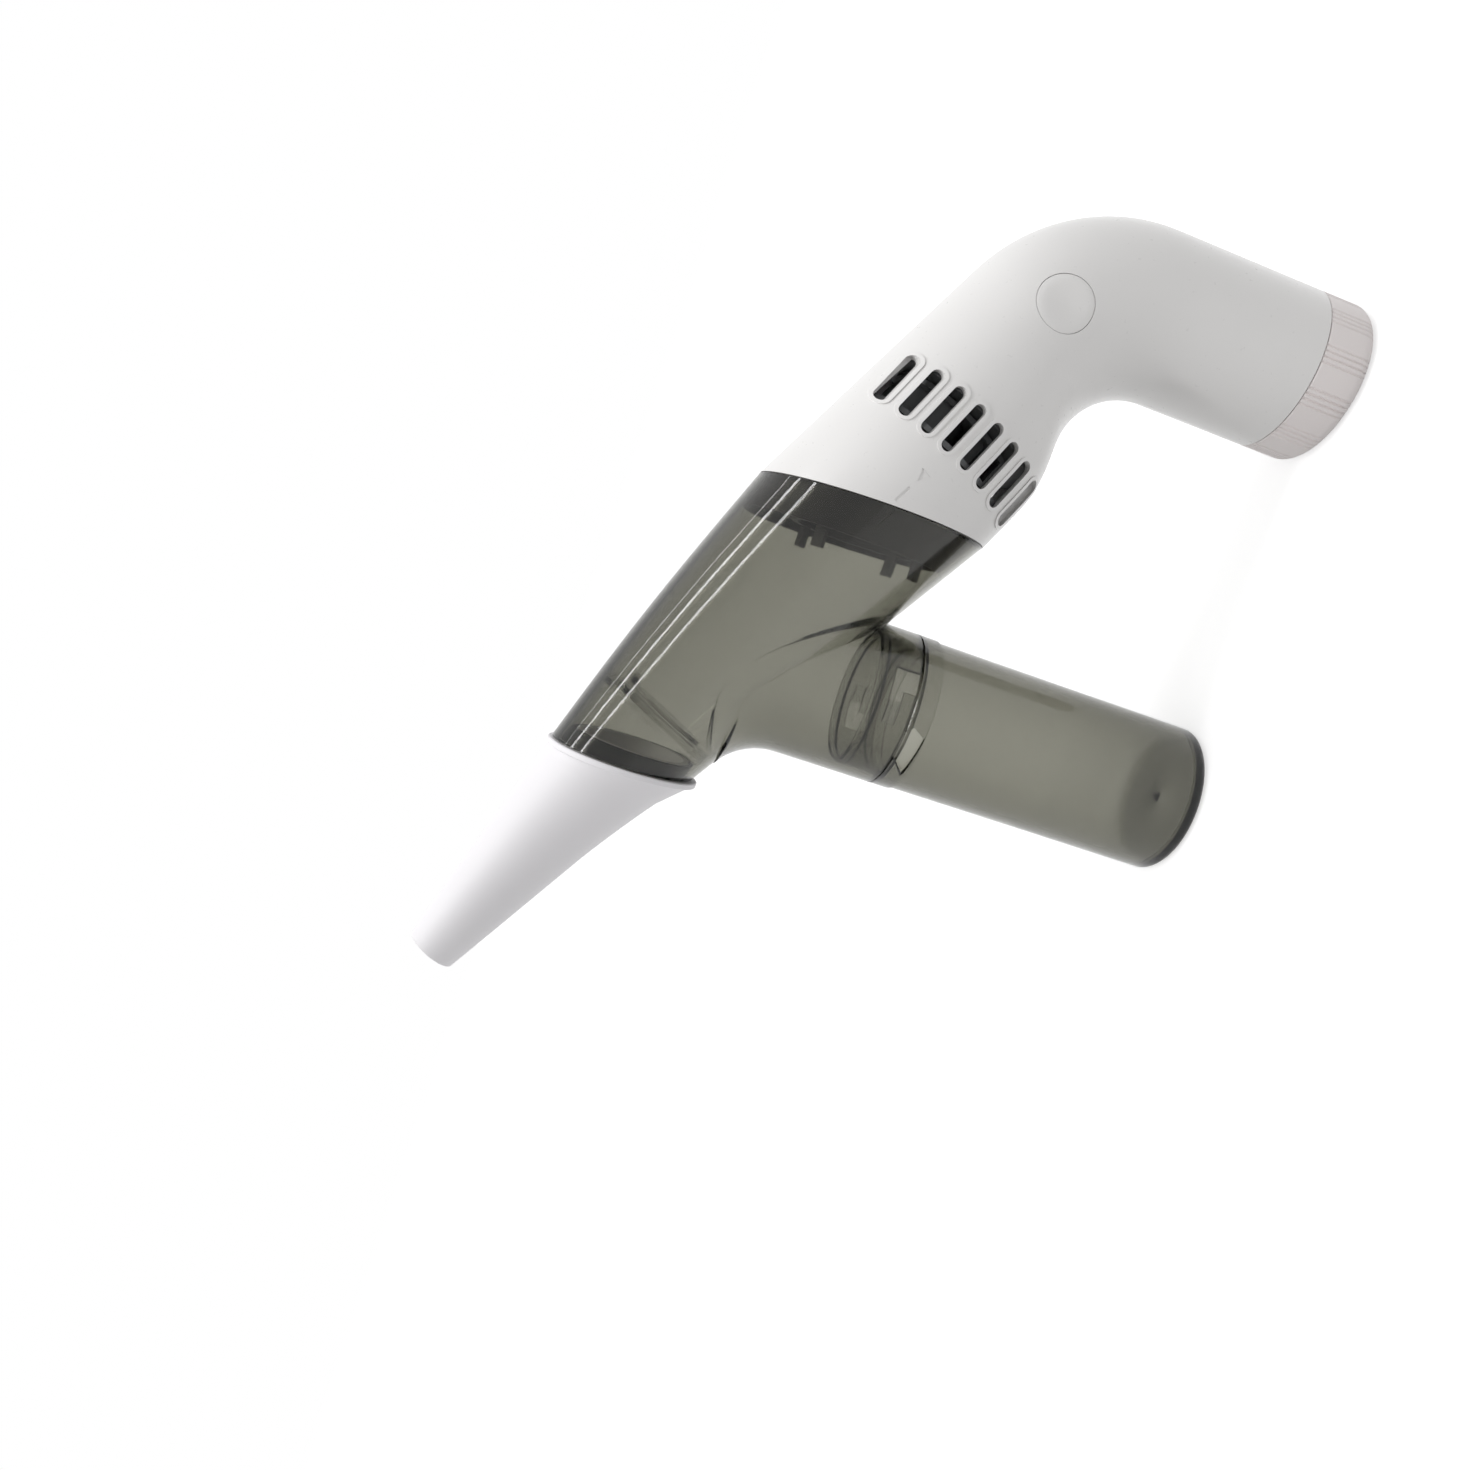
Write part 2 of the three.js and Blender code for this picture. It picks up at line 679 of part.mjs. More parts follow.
// Radius of the cap's outer edge at a share of the turn, with the fine grip lines
function capOutline() {
  const spots = [];
  for (let group = 0; group < CAP_GROUPS; group += 1) {
    const centre = (group / CAP_GROUPS) * FULL_TURN + CAP_GROUP_START;
    const start = centre - (CAP_LINES / 2) * CAP_LINE_PITCH;
    for (let line = 0; line < CAP_LINES; line += 1) {
      spots.push([start + line * CAP_LINE_PITCH, 0]);
      spots.push([start + (line + 0.5) * CAP_LINE_PITCH, CAP_LINE_DEPTH]);
    }
    spots.push([start + CAP_LINES * CAP_LINE_PITCH, 0]);
    spots.push([centre + FULL_TURN / CAP_GROUPS / 2, 0]);
  }
  return spots;
}

function capForm() {
  const outline = capOutline();
  const ringAt = (radius, height, share) => outline.map(([turn, depth]) => {
    const reach = radius - depth * share;
    return new THREE.Vector3(reach * Math.cos(radians(turn)), reach * Math.sin(radians(turn)), height);
  });
  const rings = [];
  for (let step = 0; step <= CAP_EDGE_STEPS; step += 1) {
    const turn = (step / CAP_EDGE_STEPS) * (Math.PI / 2);
    const radius = HANDLE_RADIUS - CAP_EDGE * (1 - Math.sin(turn));
    rings.push(ringAt(radius, CAP_EDGE * (1 - Math.cos(turn)), step / CAP_EDGE_STEPS));
  }
  rings.push(ringAt(HANDLE_RADIUS, CAP_HEIGHT - GAP, 1));
  return skin(rings);
}

function capSolid() {
  const inside = rod(neckOuter + GAP, CAP_FLOOR, CAP_HEIGHT, ROUND_STEPS);
  const slots = bayonetSlots({
    inner: neckOuter - OVERRUN,
    outer: capLugs.outer + GAP,
    count: capLugs.count,
    start: capLugs.start,
    lug: CAP_LUG_ANGLE,
    travel: -CAP_TRAVEL,
    low: capLugs.low,
    high: capLugs.high,
    rim: CAP_HEIGHT,
  });
  const recess = rod(capSealOuter + GAP, capSealLow - GAP / 2, CAP_HEIGHT, ROUND_STEPS);
  return capForm().subtract(inside).subtract(slots).subtract(recess);
}

const capSealOuter = neckOuter + GAP + CAP_SEAL_WIDTH;
const capSealLow = CAP_HEIGHT - GAP - CAP_SEAL_THICK;

function capSeal() {
  return pipe(capSealOuter, neckOuter + GAP, capSealLow, capSealLow + CAP_SEAL_THICK);
}

function capContact() {
  const high = CELL_FOOT - GAP;
  const low = CAP_FLOOR + GAP;
  const disc = rod(neckInner - CAP_CONTACT_STEP, low, low + CAP_CONTACT_THICK, ROUND_STEPS);
  const slope = [[0, low], [CONTACT_RADIUS, low], [CONTACT_RADIUS / 2, high], [0, high]];
  const dome = turned(slope, SMALL_STEPS);
  const cells = cellSides.map((side) => onSpot(dome, 0, side * cellOffset, 0));
  return disc.add(joined(cells));
}

// Cells, carrier and contacts

const cellSides = [-1, 1];
const cellOffset = cellRadius + CARRIER_WEB / 2 + CELL_PLAY;
const cellTop = CELL_FOOT + CELL_LENGTH + CELL_NUB_HEIGHT;
const carrierTop = cellTop + GAP + CONTACT_THICK + GAP;

function cell(flip) {
  const body = rod(cellRadius, 0, CELL_LENGTH, ROUND_STEPS / 2);
  const nub = rod(CELL_NUB_RADIUS, CELL_LENGTH - OVERRUN, CELL_LENGTH + CELL_NUB_HEIGHT);
  const whole = body.add(nub);
  if (!flip) return onSpot(whole, 0, 0, CELL_FOOT);
  const matrix = new THREE.Matrix4().makeRotationX(Math.PI);
  return whole.transform(matrix.setPosition(0, 0, cellTop).elements);
}

function cradleSpace() {
  return housingForm(WALL + GAP);
}

function carrier() {
  const top = rod(carrierRadius, carrierTop, carrierTop + CARRIER_TOP, ROUND_STEPS);
  const foot = rod(carrierRadius, CARRIER_FOOT, CARRIER_FOOT + CARRIER_RING, ROUND_STEPS);
  const tall = carrierTop + CARRIER_TOP / 2 - CARRIER_FOOT;
  const wide = 2 * (gripScrewReach - BOSS_RADIUS - GAP);
  const web = block(wide, CARRIER_WEB, tall, 0, 0, CARRIER_FOOT + tall / 2);
  const bores = cellSides.map((side) => {
    return onSpot(rod(cellRadius + GAP, 0, cellTop + GAP, ROUND_STEPS / 2), 0, side * cellOffset, 0);
  });
  const whole = joined([top, foot, web]).subtract(joined(bores));
  const placed = onSpot(whole, handleX, 0, 0);
  const passages = [-1, 1].map((side) => {
    return setAcross(rod(BOSS_RADIUS + GAP, -SEAM_RADIUS, SEAM_RADIUS),
      handleX + side * gripScrewReach, GRIP_SCREW_Z);
  });
  const wires = cellSides.map((side) => {
    return onSpot(rod(LEAD_RADIUS + GAP, carrierTop - OVERRUN, carrierTop + CARRIER_TOP + OVERRUN),
      handleX - CONTACT_RADIUS / 2, side * cellOffset, 0);
  });
  const bossCut = setAcross(rod(BOSS_RADIUS + GAP, -SEAM_RADIUS, SEAM_RADIUS),
    handleX + BEND_SCREW_OFFSET, BEND_SCREW_Z);
  return placed.intersect(cradleSpace()).subtract(joined([...passages, ...wires, bossCut]));
}

function contactPlate() {
  return rod(CONTACT_RADIUS, cellTop + GAP, cellTop + GAP + CONTACT_THICK);
}

// Motor and fan, made about Z with the impeller's middle at the origin

function motorShape(inset) {
  const shape = new THREE.Shape();
  const radius = MOTOR_RADIUS - inset;
  const flat = MOTOR_FLAT - inset;
  const turn = Math.asin(flat / radius);
  shape.absarc(0, 0, radius, -turn, turn, false);
  shape.absarc(0, 0, radius, Math.PI - turn, Math.PI + turn, false);
  return shape;
}

function shaftBore(low, high) {
  return rod(SHAFT_RADIUS + SHAFT_CLEARANCE, low - OVERRUN, high + OVERRUN);
}

function motorCan() {
  const boss = rod(MOTOR_BOSS_RADIUS, MOTOR_FRONT - MOTOR_BOSS_HEIGHT, MOTOR_FRONT + OVERRUN);
  const can = pressed(motorShape(0), MOTOR_FRONT, motorBack, SMALL_STEPS / 2);
  return can.add(boss).subtract(shaftBore(0, motorBack));
}

function motorBell() {
  const low = motorBack + GAP / 3;
  const high = low + MOTOR_BELL;
  const bell = pressed(motorShape(GAP), low, high, SMALL_STEPS / 2);
  const tabs = [-1, 1].map((side) => {
    const tall = TERMINAL_LENGTH + OVERRUN;
    const middle = high + tall / 2 - OVERRUN;
    return block(TERMINAL_THICK, TERMINAL_WIDTH, tall, (side * MOTOR_RADIUS) / 2, 0, middle);
  });
  return bell.add(joined(tabs)).subtract(shaftBore(low, high));
}

function motorShaft() {
  return rod(SHAFT_RADIUS, -IMPELLER_HALF / 2, motorBack + MOTOR_BELL);
}

function motorCradle() {
  const front = MOTOR_FRONT - GAP - CRADLE_PLATE;
  const plate = rod(SEAM_RADIUS + OVERRUN, front, front + CRADLE_PLATE, ROUND_STEPS);
  const rear = rod(MOTOR_RADIUS + CRADLE_RAIL, CRADLE_REAR, CRADLE_REAR + CRADLE_PLATE, ROUND_STEPS);
  const length = CRADLE_REAR + CRADLE_PLATE - front;
  const rails = [-1, 1].map((side) => {
    const y = side * (MOTOR_FLAT + GAP + CRADLE_RAIL / 2);
    return block(MOTOR_RADIUS, CRADLE_RAIL, length, 0, y, front + length / 2);
  });
  const hole = rod(MOTOR_BOSS_RADIUS + GAP, 0, MOTOR_FRONT);
  const pocket = pressed(motorShape(-GAP), MOTOR_FRONT - GAP, motorBack, SMALL_STEPS / 2);
  const whole = joined([plate, rear, ...rails]).subtract(hole).subtract(pocket);
  const clear = joined(screwPlaces.map(([x, z]) => {
    return setAcross(rod(BOSS_RADIUS + GAP, -SEAM_RADIUS, SEAM_RADIUS), x, z);
  }));
  return onFanAxis(whole).intersect(cradleSpace()).subtract(clear);
}

function inletPlate() {
  const high = -IMPELLER_HALF - INLET_GAP;
  const lip = pipe(INLET_EYE + INLET_PLATE, INLET_EYE, high - INLET_PLATE * 2, high);
  const plate = pipe(SEAM_RADIUS + OVERRUN, INLET_EYE, high - INLET_PLATE, high);
  return onFanAxis(plate.add(lip)).intersect(cradleSpace());
}

// One blade swept back along an arc from the hub to the rim
function blade(turn) {
  const front = [];
  const back = [];
  for (let step = 0; step <= BLADE_STEPS; step += 1) {
    const share = step / BLADE_STEPS;
    const radius = THREE.MathUtils.lerp(BLADE_ROOT, impellerRadius, share);
    const angle = turn - radians(BLADE_SWEEP) * share * share;
    const half = BLADE_THICK / 2 / radius;
    front.push(new THREE.Vector2(radius * Math.cos(angle + half), radius * Math.sin(angle + half)));
    back.unshift(new THREE.Vector2(radius * Math.cos(angle - half), radius * Math.sin(angle - half)));
  }
  const shape = new THREE.Shape([...front, ...back]);
  return pressed(shape, -IMPELLER_HALF, IMPELLER_HALF - IMPELLER_DISC / 2, 1);
}

function impeller() {
  const disc = rod(impellerRadius, IMPELLER_HALF - IMPELLER_DISC, IMPELLER_HALF, ROUND_STEPS);
  const hub = rod(HUB_RADIUS, -IMPELLER_HALF / 2, IMPELLER_HALF);
  const blades = [];
  for (let place = 0; place < BLADE_COUNT; place += 1) {
    blades.push(blade((place / BLADE_COUNT) * Math.PI * 2));
  }
  const bore = rod(SHAFT_RADIUS + SHAFT_CLEARANCE / 2, -IMPELLER_HALF, IMPELLER_HALF + OVERRUN);
  return joined([disc, hub, ...blades]).subtract(bore);
}

// Switch and button

function switchBody() {
  const middle = switchDepth / 2 - switchFace;
  return block(SWITCH_SIZE, switchDepth, SWITCH_SIZE, buttonX, middle, BUTTON_Z);
}

// Half width of the housing's outer wall at the button
function buttonWall() {
  const spot = new THREE.Vector2(buttonX, BUTTON_Z);
  let best = { away: Infinity, side: HANDLE_RADIUS };
  housingStations().forEach(({ upper, lower, side }) => {
    const line = lower.clone().sub(upper);
    const away = Math.abs(line.cross(spot.clone().sub(upper))) / line.length();
    if (away < best.away) best = { away, side };
  });
  return best.side;
}

// The button follows the housing's surface, just below it, with a shallow dish for the finger
function button() {
  const wall = buttonWall();
  const skirt = wall - WALL - BUTTON_SKIRT_RISE - BUTTON_SKIRT;
  const stem = rod(BUTTON_STEM, switchFace + GAP + BUTTON_TRAVEL, skirt + OVERRUN);
  const cap = rod(BUTTON_RADIUS, skirt, SEAM_RADIUS, INNER_STEPS);
  const placed = setAcross(cap, buttonX, BUTTON_Z, -1).intersect(housingForm(BUTTON_SINK));
  const dish = turned([
    [0, wall - BUTTON_DISH],
    [BUTTON_DISH_RADIUS / 2, wall - BUTTON_DISH * DISH_SHARE],
    [BUTTON_DISH_RADIUS, wall],
    [BUTTON_DISH_RADIUS, SEAM_RADIUS],
    [0, SEAM_RADIUS],
  ], INNER_STEPS);
  const whole = placed.add(setAcross(stem, buttonX, BUTTON_Z, -1));
  return whole.subtract(setAcross(dish, buttonX, BUTTON_Z, -1));
}

// Coupling ring and filter, made about Z with the seam at the origin and +Z into the housing

function onSeam(solid) {
  return setAlong(solid, SEAM_X, SEAM_Z, 0);
}

const ringLugs = {
  outer: spigotRadius + RING_LUG_RISE,
  count: RING_LUGS,
  start: 0,
  lug: RING_LUG_ANGLE,
  low: -GAP - CHAMBER_LIP - GAP - RING_LUG_HEIGHT,
  high: -GAP - CHAMBER_LIP - GAP,
};

const ringSealHeight = -GAP - CHAMBER_LIP / 2;

function couplingRing() {
  const spigot = pipe(spigotRadius, spigotInner, -SPIGOT_LENGTH, GAP + FLANGE_THICK);
  const flange = pipe(SEAM_RADIUS, spigotInner, GAP, GAP + FLANGE_THICK);
  const groove = sealGroove(spigotRadius - SEAL_SINK, ringSealHeight);
  const lugs = lugRing({ ...ringLugs, inner: (spigotRadius + spigotInner) / 2 });
  const ring = spigot.subtract(groove).add(lugs);
  return onSeam(ring).add(onSeam(flange).intersect(cradleSpace()));
}

const frameOuter = spigotInner - GAP;
const frameInner = frameOuter - FRAME_WALL;
const frameHigh = FLANGE_THICK - GAP;
const frameLow = frameHigh - FRAME_LENGTH;
const meshLow = frameHigh - FRAME_LENGTH / 2;

function filterFrame() {
  const ring = pipe(frameOuter, frameInner, frameLow, frameHigh, INNER_STEPS);
  const ledge = pipe(frameOuter - FRAME_WALL / 2, frameInner - FRAME_LEDGE,
    meshLow - GAP - FRAME_LEDGE_THICK, meshLow - GAP, INNER_STEPS);
  const tabs = lugRing({
    inner: frameInner,
    outer: frameOuter - GAP,
    count: FRAME_TABS,
    start: FRAME_TAB_START,
    lug: FRAME_TAB_ANGLE,
    low: frameLow - FRAME_TAB_REACH,
    high: frameLow + OVERRUN,
  });
  return onSeam(joined([ring, ledge, tabs]));
}

// A disc with a square pattern of holes inside its rim
function filterMesh() {
  const radius = frameInner - GAP;
  const disc = rod(radius, meshLow, meshLow + MESH_THICK, INNER_STEPS);
  const reach = Math.floor(radius / MESH_PITCH);
  const holes = [];
  for (let column = -reach; column <= reach; column += 1) {
    for (let row = -reach; row <= reach; row += 1) {
      const x = column * MESH_PITCH;
      const y = row * MESH_PITCH;
      if (Math.hypot(x, y) + MESH_HOLE * Math.SQRT1_2 > radius - MESH_RIM) continue;
      holes.push(block(MESH_HOLE, MESH_HOLE, OVERRUN * 2, x, y, meshLow));
    }
  }
  return onSeam(disc.subtract(joined(holes)));
}

// Smoke chamber: an oblique cone from the mouth to the seam, with a spout below

function chamberRing(x, inset) {
  const share = (x - MOUTH_X) / (SEAM_X - MOUTH_X);
  const within = THREE.MathUtils.clamp(share, 0, 1);
  const radius = THREE.MathUtils.lerp(MOUTH_RADIUS, SEAM_RADIUS, share) - inset;
  const swell = CHAMBER_BULGE * Math.sin(Math.PI * within);
  const middle = THREE.MathUtils.lerp(MOUTH_Z, SEAM_Z, share);
  const upper = new THREE.Vector2(x, middle + radius + swell);
  const lower = new THREE.Vector2(x, middle - radius);
  return ovalRing(upper, lower, radius, inset > 0 ? INNER_STEPS : ROUND_STEPS);
}

function chamberForm(inset, from, to) {
  const rings = [];
  for (let step = 0; step <= CHAMBER_STEPS; step += 1) {
    rings.push(chamberRing(THREE.MathUtils.lerp(from, to, step / CHAMBER_STEPS), inset));
  }
  return skin(rings);
}

// The space inside the chamber's wall, or with a gap what fits in it, past both ends
function chamberSpace(gap) {
  return chamberForm(CHAMBER_WALL + gap, MOUTH_X - OVERRUN, SEAM_X + OVERRUN);
}

// A slice of that space between two places along X
function chamberSlice(gap, from, to) {
  const span = SEAM_RADIUS * 4;
  return chamberSpace(gap).intersect(block(to - from, span, span, (from + to) / 2, 0, SEAM_Z));
}

// The spout's left side, which runs up and round into the chamber's underside
function spoutSide() {
  const mouthLow = new THREE.Vector2(MOUTH_X, MOUTH_Z - MOUTH_RADIUS);
  const under = bellyTop.clone().sub(mouthLow);
  const share = (-SPOUT_RADIUS - MOUTH_X) / under.x;
  const corner = mouthLow.clone().addScaledVector(under, share);
  const foot = new THREE.Vector2(-SPOUT_RADIUS, SPOUT_FOOT);
  return roundedOutline([foot, corner, mouthLow], [SPOUT_FILLET]).slice(0, -1);
}

function spoutForm(inset, foot) {
  const radius = SPOUT_RADIUS - inset;
  const side = spoutSide();
  side[0].setY(foot);
  side.push(side[side.length - 1].clone().add(new THREE.Vector2(SPOUT_RISE, SPOUT_RISE)));
  return skin(side.map(({ x, y }) => {
    return ovalRing(new THREE.Vector2(x + inset, y), new THREE.Vector2(radius, y), radius);
  }));
}

const tubeLugs = {
  outer: tubeNeck + TUBE_LUG_RISE,
  count: 2,
  start: -90,
  lug: TUBE_LUG_ANGLE,
  low: SPOUT_FOOT + TUBE_LUG_FOOT,
  high: SPOUT_FOOT + TUBE_LUG_FOOT + TUBE_LUG_HEIGHT,
};

function chamberShell() {
  const end = SEAM_X - GAP;
  const outer = chamberForm(0, MOUTH_X, end).add(spoutForm(0, SPOUT_FOOT));
  const hollow = chamberSpace(0);
  const bore = spoutForm(CHAMBER_WALL, SPOUT_FOOT - OVERRUN);
  const slots = bayonetSlots({
    ...tubeLugs,
    inner: tubeLugs.outer - TUBE_LUG_RISE - OVERRUN,
    outer: tubeLugs.outer + GAP,
    travel: TUBE_TRAVEL,
    rim: SPOUT_FOOT - OVERRUN,
  });
  const mark = markGroove(CHAMBER_MARK, chamberForm(MARK_DEPTH, MOUTH_X, end));
  return outer.subtract(joined([hollow, bore, slots, mark]));
}

// The dark collar in the chamber's wide end: a skirt along its wall, and a lip with notches
// that let the coupling ring's lugs through
function chamberCollar() {
  const end = SEAM_X - GAP;
  const start = SEAM_X - COLLAR_LENGTH;
  const outer = chamberSlice(GAP, start, end);
  const hollow = chamberSlice(GAP + COLLAR_WALL, start - OVERRUN, end - CHAMBER_LIP);
  const low = -CHAMBER_LIP - GAP - OVERRUN;
  const bore = rod(spigotRadius + GAP, low, OVERRUN, ROUND_STEPS);
  const play = (GAP / ringLugs.outer) * (HALF_TURN / Math.PI);
  const notches = lugRing({
    ...ringLugs,
    inner: spigotInner,
    outer: ringLugs.outer + GAP,
    start: ringLugs.start - CHAMBER_TRAVEL,
    lug: RING_LUG_ANGLE + play * 2,
    low,
    high: OVERRUN,
  });
  const room = rod(ringLugs.outer + GAP, ringLugs.low - GAP, ringLugs.high + GAP, ROUND_STEPS);
  return outer.subtract(hollow).subtract(onSeam(joined([bore, notches, room])));
}

// Collecting tube

function tubeSolid() {
  const top = SPOUT_FOOT - GAP;
  const collarFoot = top - TUBE_COLLAR;
  const inner = tubeNeck - TUBE_NECK_WALL;
  const neckTop = SPOUT_FOOT + TUBE_NECK_HEIGHT;
  const profile = [[0, 0]];
  for (let step = 0; step <= TUBE_EDGE_STEPS; step += 1) {
    const turn = (step / TUBE_EDGE_STEPS) * (Math.PI / 2);
    const radius = TUBE_FOOT_RADIUS - TUBE_EDGE * (1 - Math.sin(turn));
    profile.push([radius, TUBE_EDGE * (1 - Math.cos(turn))]);
  }
  profile.push([SPOUT_RADIUS - TUBE_COLLAR_GROOVE, collarFoot]);
  profile.push([SPOUT_RADIUS, collarFoot]);
  profile.push([SPOUT_RADIUS, top], [tubeNeck, top], [tubeNeck, neckTop], [inner, neckTop]);
  profile.push([inner, top - TUBE_COLLAR], [TUBE_FOOT_RADIUS - TUBE_WALL, TUBE_EDGE]);
  profile.push([TUBE_FOOT_RADIUS - TUBE_WALL - TUBE_WALL, TUBE_FLOOR], [0, TUBE_FLOOR]);
  const sealHeight = neckTop - TUBE_SEAL_DROP;
  const groove = sealGroove(tubeNeck - SEAL_SINK, sealHeight);
  const lugs = lugRing({ ...tubeLugs, inner: (tubeNeck + inner) / 2 });
  const gate = rod(GATE_RADIUS, TUBE_FLOOR - GATE_HEIGHT, TUBE_FLOOR + GATE_HEIGHT);
  return turned(profile).subtract(groove).add(lugs).add(gate);
}

function tubeSeal() {
  return ringSeal(tubeNeck - SEAL_SINK, SPOUT_FOOT + TUBE_NECK_HEIGHT - TUBE_SEAL_DROP);
}

// Nozzle: a slim cone that flares below into a round mouth with a flange

function nozzleStations(inset) {
  const tilt = radians(BODY_TILT);
  const ahead = new THREE.Vector2(-Math.cos(tilt), Math.sin(tilt));
  const up = new THREE.Vector2(Math.sin(tilt), Math.cos(tilt));
  const mouthX = MOUTH_X - GAP;
  const mouthTop = new THREE.Vector2(mouthX, MOUTH_Z + MOUTH_RADIUS);
  const axisRoot = mouthTop.clone().addScaledVector(up, -NOZZLE_ROOT_RADIUS);
  const tip = axisRoot.clone().addScaledVector(ahead, NOZZLE_LENGTH);
  const mouthLow = new THREE.Vector2(mouthX, MOUTH_Z - MOUTH_RADIUS);
  const flares = [];
  for (let step = 0; step <= NOZZLE_FLARE_STEPS; step += 1) flares.push(step / NOZZLE_FLARE_STEPS);
  const shares = flares.map((flare) => THREE.MathUtils.lerp(NOZZLE_FLARE_SHARE, 1, flare));
  return [0, ...shares].map((share) => {
    const radius = THREE.MathUtils.lerp(NOZZLE_TIP_RADIUS, NOZZLE_ROOT_RADIUS, share);
    const centre = tip.clone().lerp(axisRoot, share);
    const flare = Math.max(0, (share - NOZZLE_FLARE_SHARE) / (1 - NOZZLE_FLARE_SHARE));
    const upper = centre.clone().addScaledVector(up, radius - inset);
    const lower = centre.clone().addScaledVector(up, inset - radius);
    const lipUpper = mouthTop.clone().setY(mouthTop.y - inset);
    const lipLower = mouthLow.clone().setY(mouthLow.y + inset);
    upper.lerp(lipUpper, flare * flare);
    lower.lerp(lipLower, flare * flare);
    const side = THREE.MathUtils.lerp(radius, MOUTH_RADIUS, flare * flare) - inset;
    return { upper, lower, side };
  });
}

function nozzleForm(inset, past) {
  const count = inset > 0 ? INNER_STEPS : ROUND_STEPS;
  const rings = nozzleStations(inset).map(({ upper, lower, side }) => ovalRing(upper, lower, side, count));
  if (!past) return skin(rings);
  const tilt = radians(BODY_TILT);
  const outward = new THREE.Vector3(-Math.cos(tilt), 0, Math.sin(tilt)).multiplyScalar(past);
  const first = rings[0].map((point) => point.clone().add(outward));
  const last = rings[rings.length - 1].map((point) => point.clone().setX(point.x + past));
  return skin([first, ...rings, last]);
}

// A round plug whose sides run along the nozzle's pull
function nozzlePlug(inset, from, to) {
  const slope = Math.tan(radians(BODY_TILT));
  const radius = MOUTH_RADIUS - CHAMBER_WALL - GAP - inset;
  return skin([from, to].map((x) => {
    const middle = MOUTH_Z - (x - MOUTH_X) * slope;
    const upper = new THREE.Vector2(x, middle + radius);
    return ovalRing(upper, new THREE.Vector2(x, middle - radius), radius, INNER_STEPS);
  }));
}

function nozzleLip() {
  const x = MOUTH_X - GAP;
  const low = MOUTH_Z - MOUTH_RADIUS - NOZZLE_LIP;
  return skin([x - NOZZLE_LIP_THICK, x].map((place) => {
    const upper = new THREE.Vector2(place, MOUTH_Z + MOUTH_RADIUS + NOZZLE_LIP_TOP);
    return ovalRing(upper, new THREE.Vector2(place, low), MOUTH_RADIUS + NOZZLE_LIP_TOP);
  }));
}

function nozzle() {
  const outer = nozzleForm(0, 0).add(nozzleLip());
  const start = MOUTH_X - GAP - NOZZLE_LIP_THICK;
  const inset = NOZZLE_SEAL + GAP;
  const plug = nozzlePlug(inset, start, MOUTH_X + NOZZLE_SPIGOT);
  const bore = nozzlePlug(inset + NOZZLE_WALL, start - OVERRUN, MOUTH_X + NOZZLE_SPIGOT + OVERRUN);
  const span = MOUTH_RADIUS * 3;
  const slab = block(NOZZLE_LIP_THICK, span, span, start + NOZZLE_LIP_THICK / 2, 0, MOUTH_Z);
  const ledge = outer.intersect(slab);
  return outer.subtract(nozzleForm(NOZZLE_WALL, OVERRUN)).add(ledge).add(plug).subtract(bore);
}

// A dark sleeve round the plug, which seals it in the chamber's mouth
function nozzleSeal() {
  const end = MOUTH_X + NOZZLE_SPIGOT;
  return nozzlePlug(0, MOUTH_X, end).subtract(nozzlePlug(NOZZLE_SEAL, MOUTH_X - OVERRUN, end + OVERRUN));
}

// Inlet seat and flap, made about Z with the bore's middle on the seat's face at the origin

function chamberMiddle(x) {
  return THREE.MathUtils.lerp(MOUTH_Z, SEAM_Z, (x - MOUTH_X) / (SEAM_X - MOUTH_X));
}

const seatLean = MOUTH_RADIUS * Math.sin(radians(BODY_TILT));
const seatX = MOUTH_X + NOZZLE_SPIGOT + seatLean + SEAT_STEP;
const seatZ = chamberMiddle(seatX);
const pinRise = -(seatBore + FLAP_LIFT);
const pinReach = GAP + FLAP_BARREL;

function onSeat(solid) {
  return setAlong(solid, seatX, seatZ, -BODY_TILT);
}

function pinSolid(radius, half) {
  return setAcross(rod(radius, -half, half), pinRise, pinReach);
}

// A slice of the chamber's inner space, square to the flow
function seatSlice(gap, low, high) {
  const span = SEAM_RADIUS * 2;
  return chamberSpace(gap).intersect(onSeat(block(span, span, high - low, 0, 0, (low + high) / 2)));
}

function inletSeat() {
  const plate = seatSlice(GAP, -SEAT_PLATE, 0);
  const rim = seatSlice(GAP, -SEAT_PLATE - SEAT_RIM, 0);
  const inside = seatSlice(GAP + SEAT_WALL, -SEAT_PLATE - SEAT_RIM - OVERRUN, OVERRUN);
  const bore = onSeat(rod(seatBore, -SEAT_PLATE - OVERRUN, OVERRUN, INNER_STEPS));
  const ears = [-1, 1].map((side) => {
    const y = side * (FLAP_BARREL_HALF + GAP + FLAP_EAR / 2);
    const low = -SEAT_PLATE / 2;
    const high = pinReach + FLAP_BARREL;
    return onSeat(block(FLAP_BARREL * 2, FLAP_EAR, high - low, pinRise, y, (low + high) / 2));
  });
  const hole = onSeat(pinSolid(FLAP_PIN_RADIUS + SHAFT_CLEARANCE, MOUTH_RADIUS));
  return plate.subtract(bore).add(rim.subtract(inside)).add(joined(ears)).subtract(hole);
}

function inletFlap() {
  const disc = rod(seatBore + FLAP_MARGIN, GAP, GAP + FLAP_THICK, INNER_STEPS);
  const arm = block(-pinRise, FLAP_BARREL_HALF, FLAP_THICK, pinRise / 2, 0, GAP + FLAP_THICK / 2);
  const barrel = pinSolid(FLAP_BARREL, FLAP_BARREL_HALF);
  const hole = pinSolid(FLAP_PIN_RADIUS + SHAFT_CLEARANCE, MOUTH_RADIUS);
  return onSeat(joined([disc, arm, barrel]).subtract(hole));
}

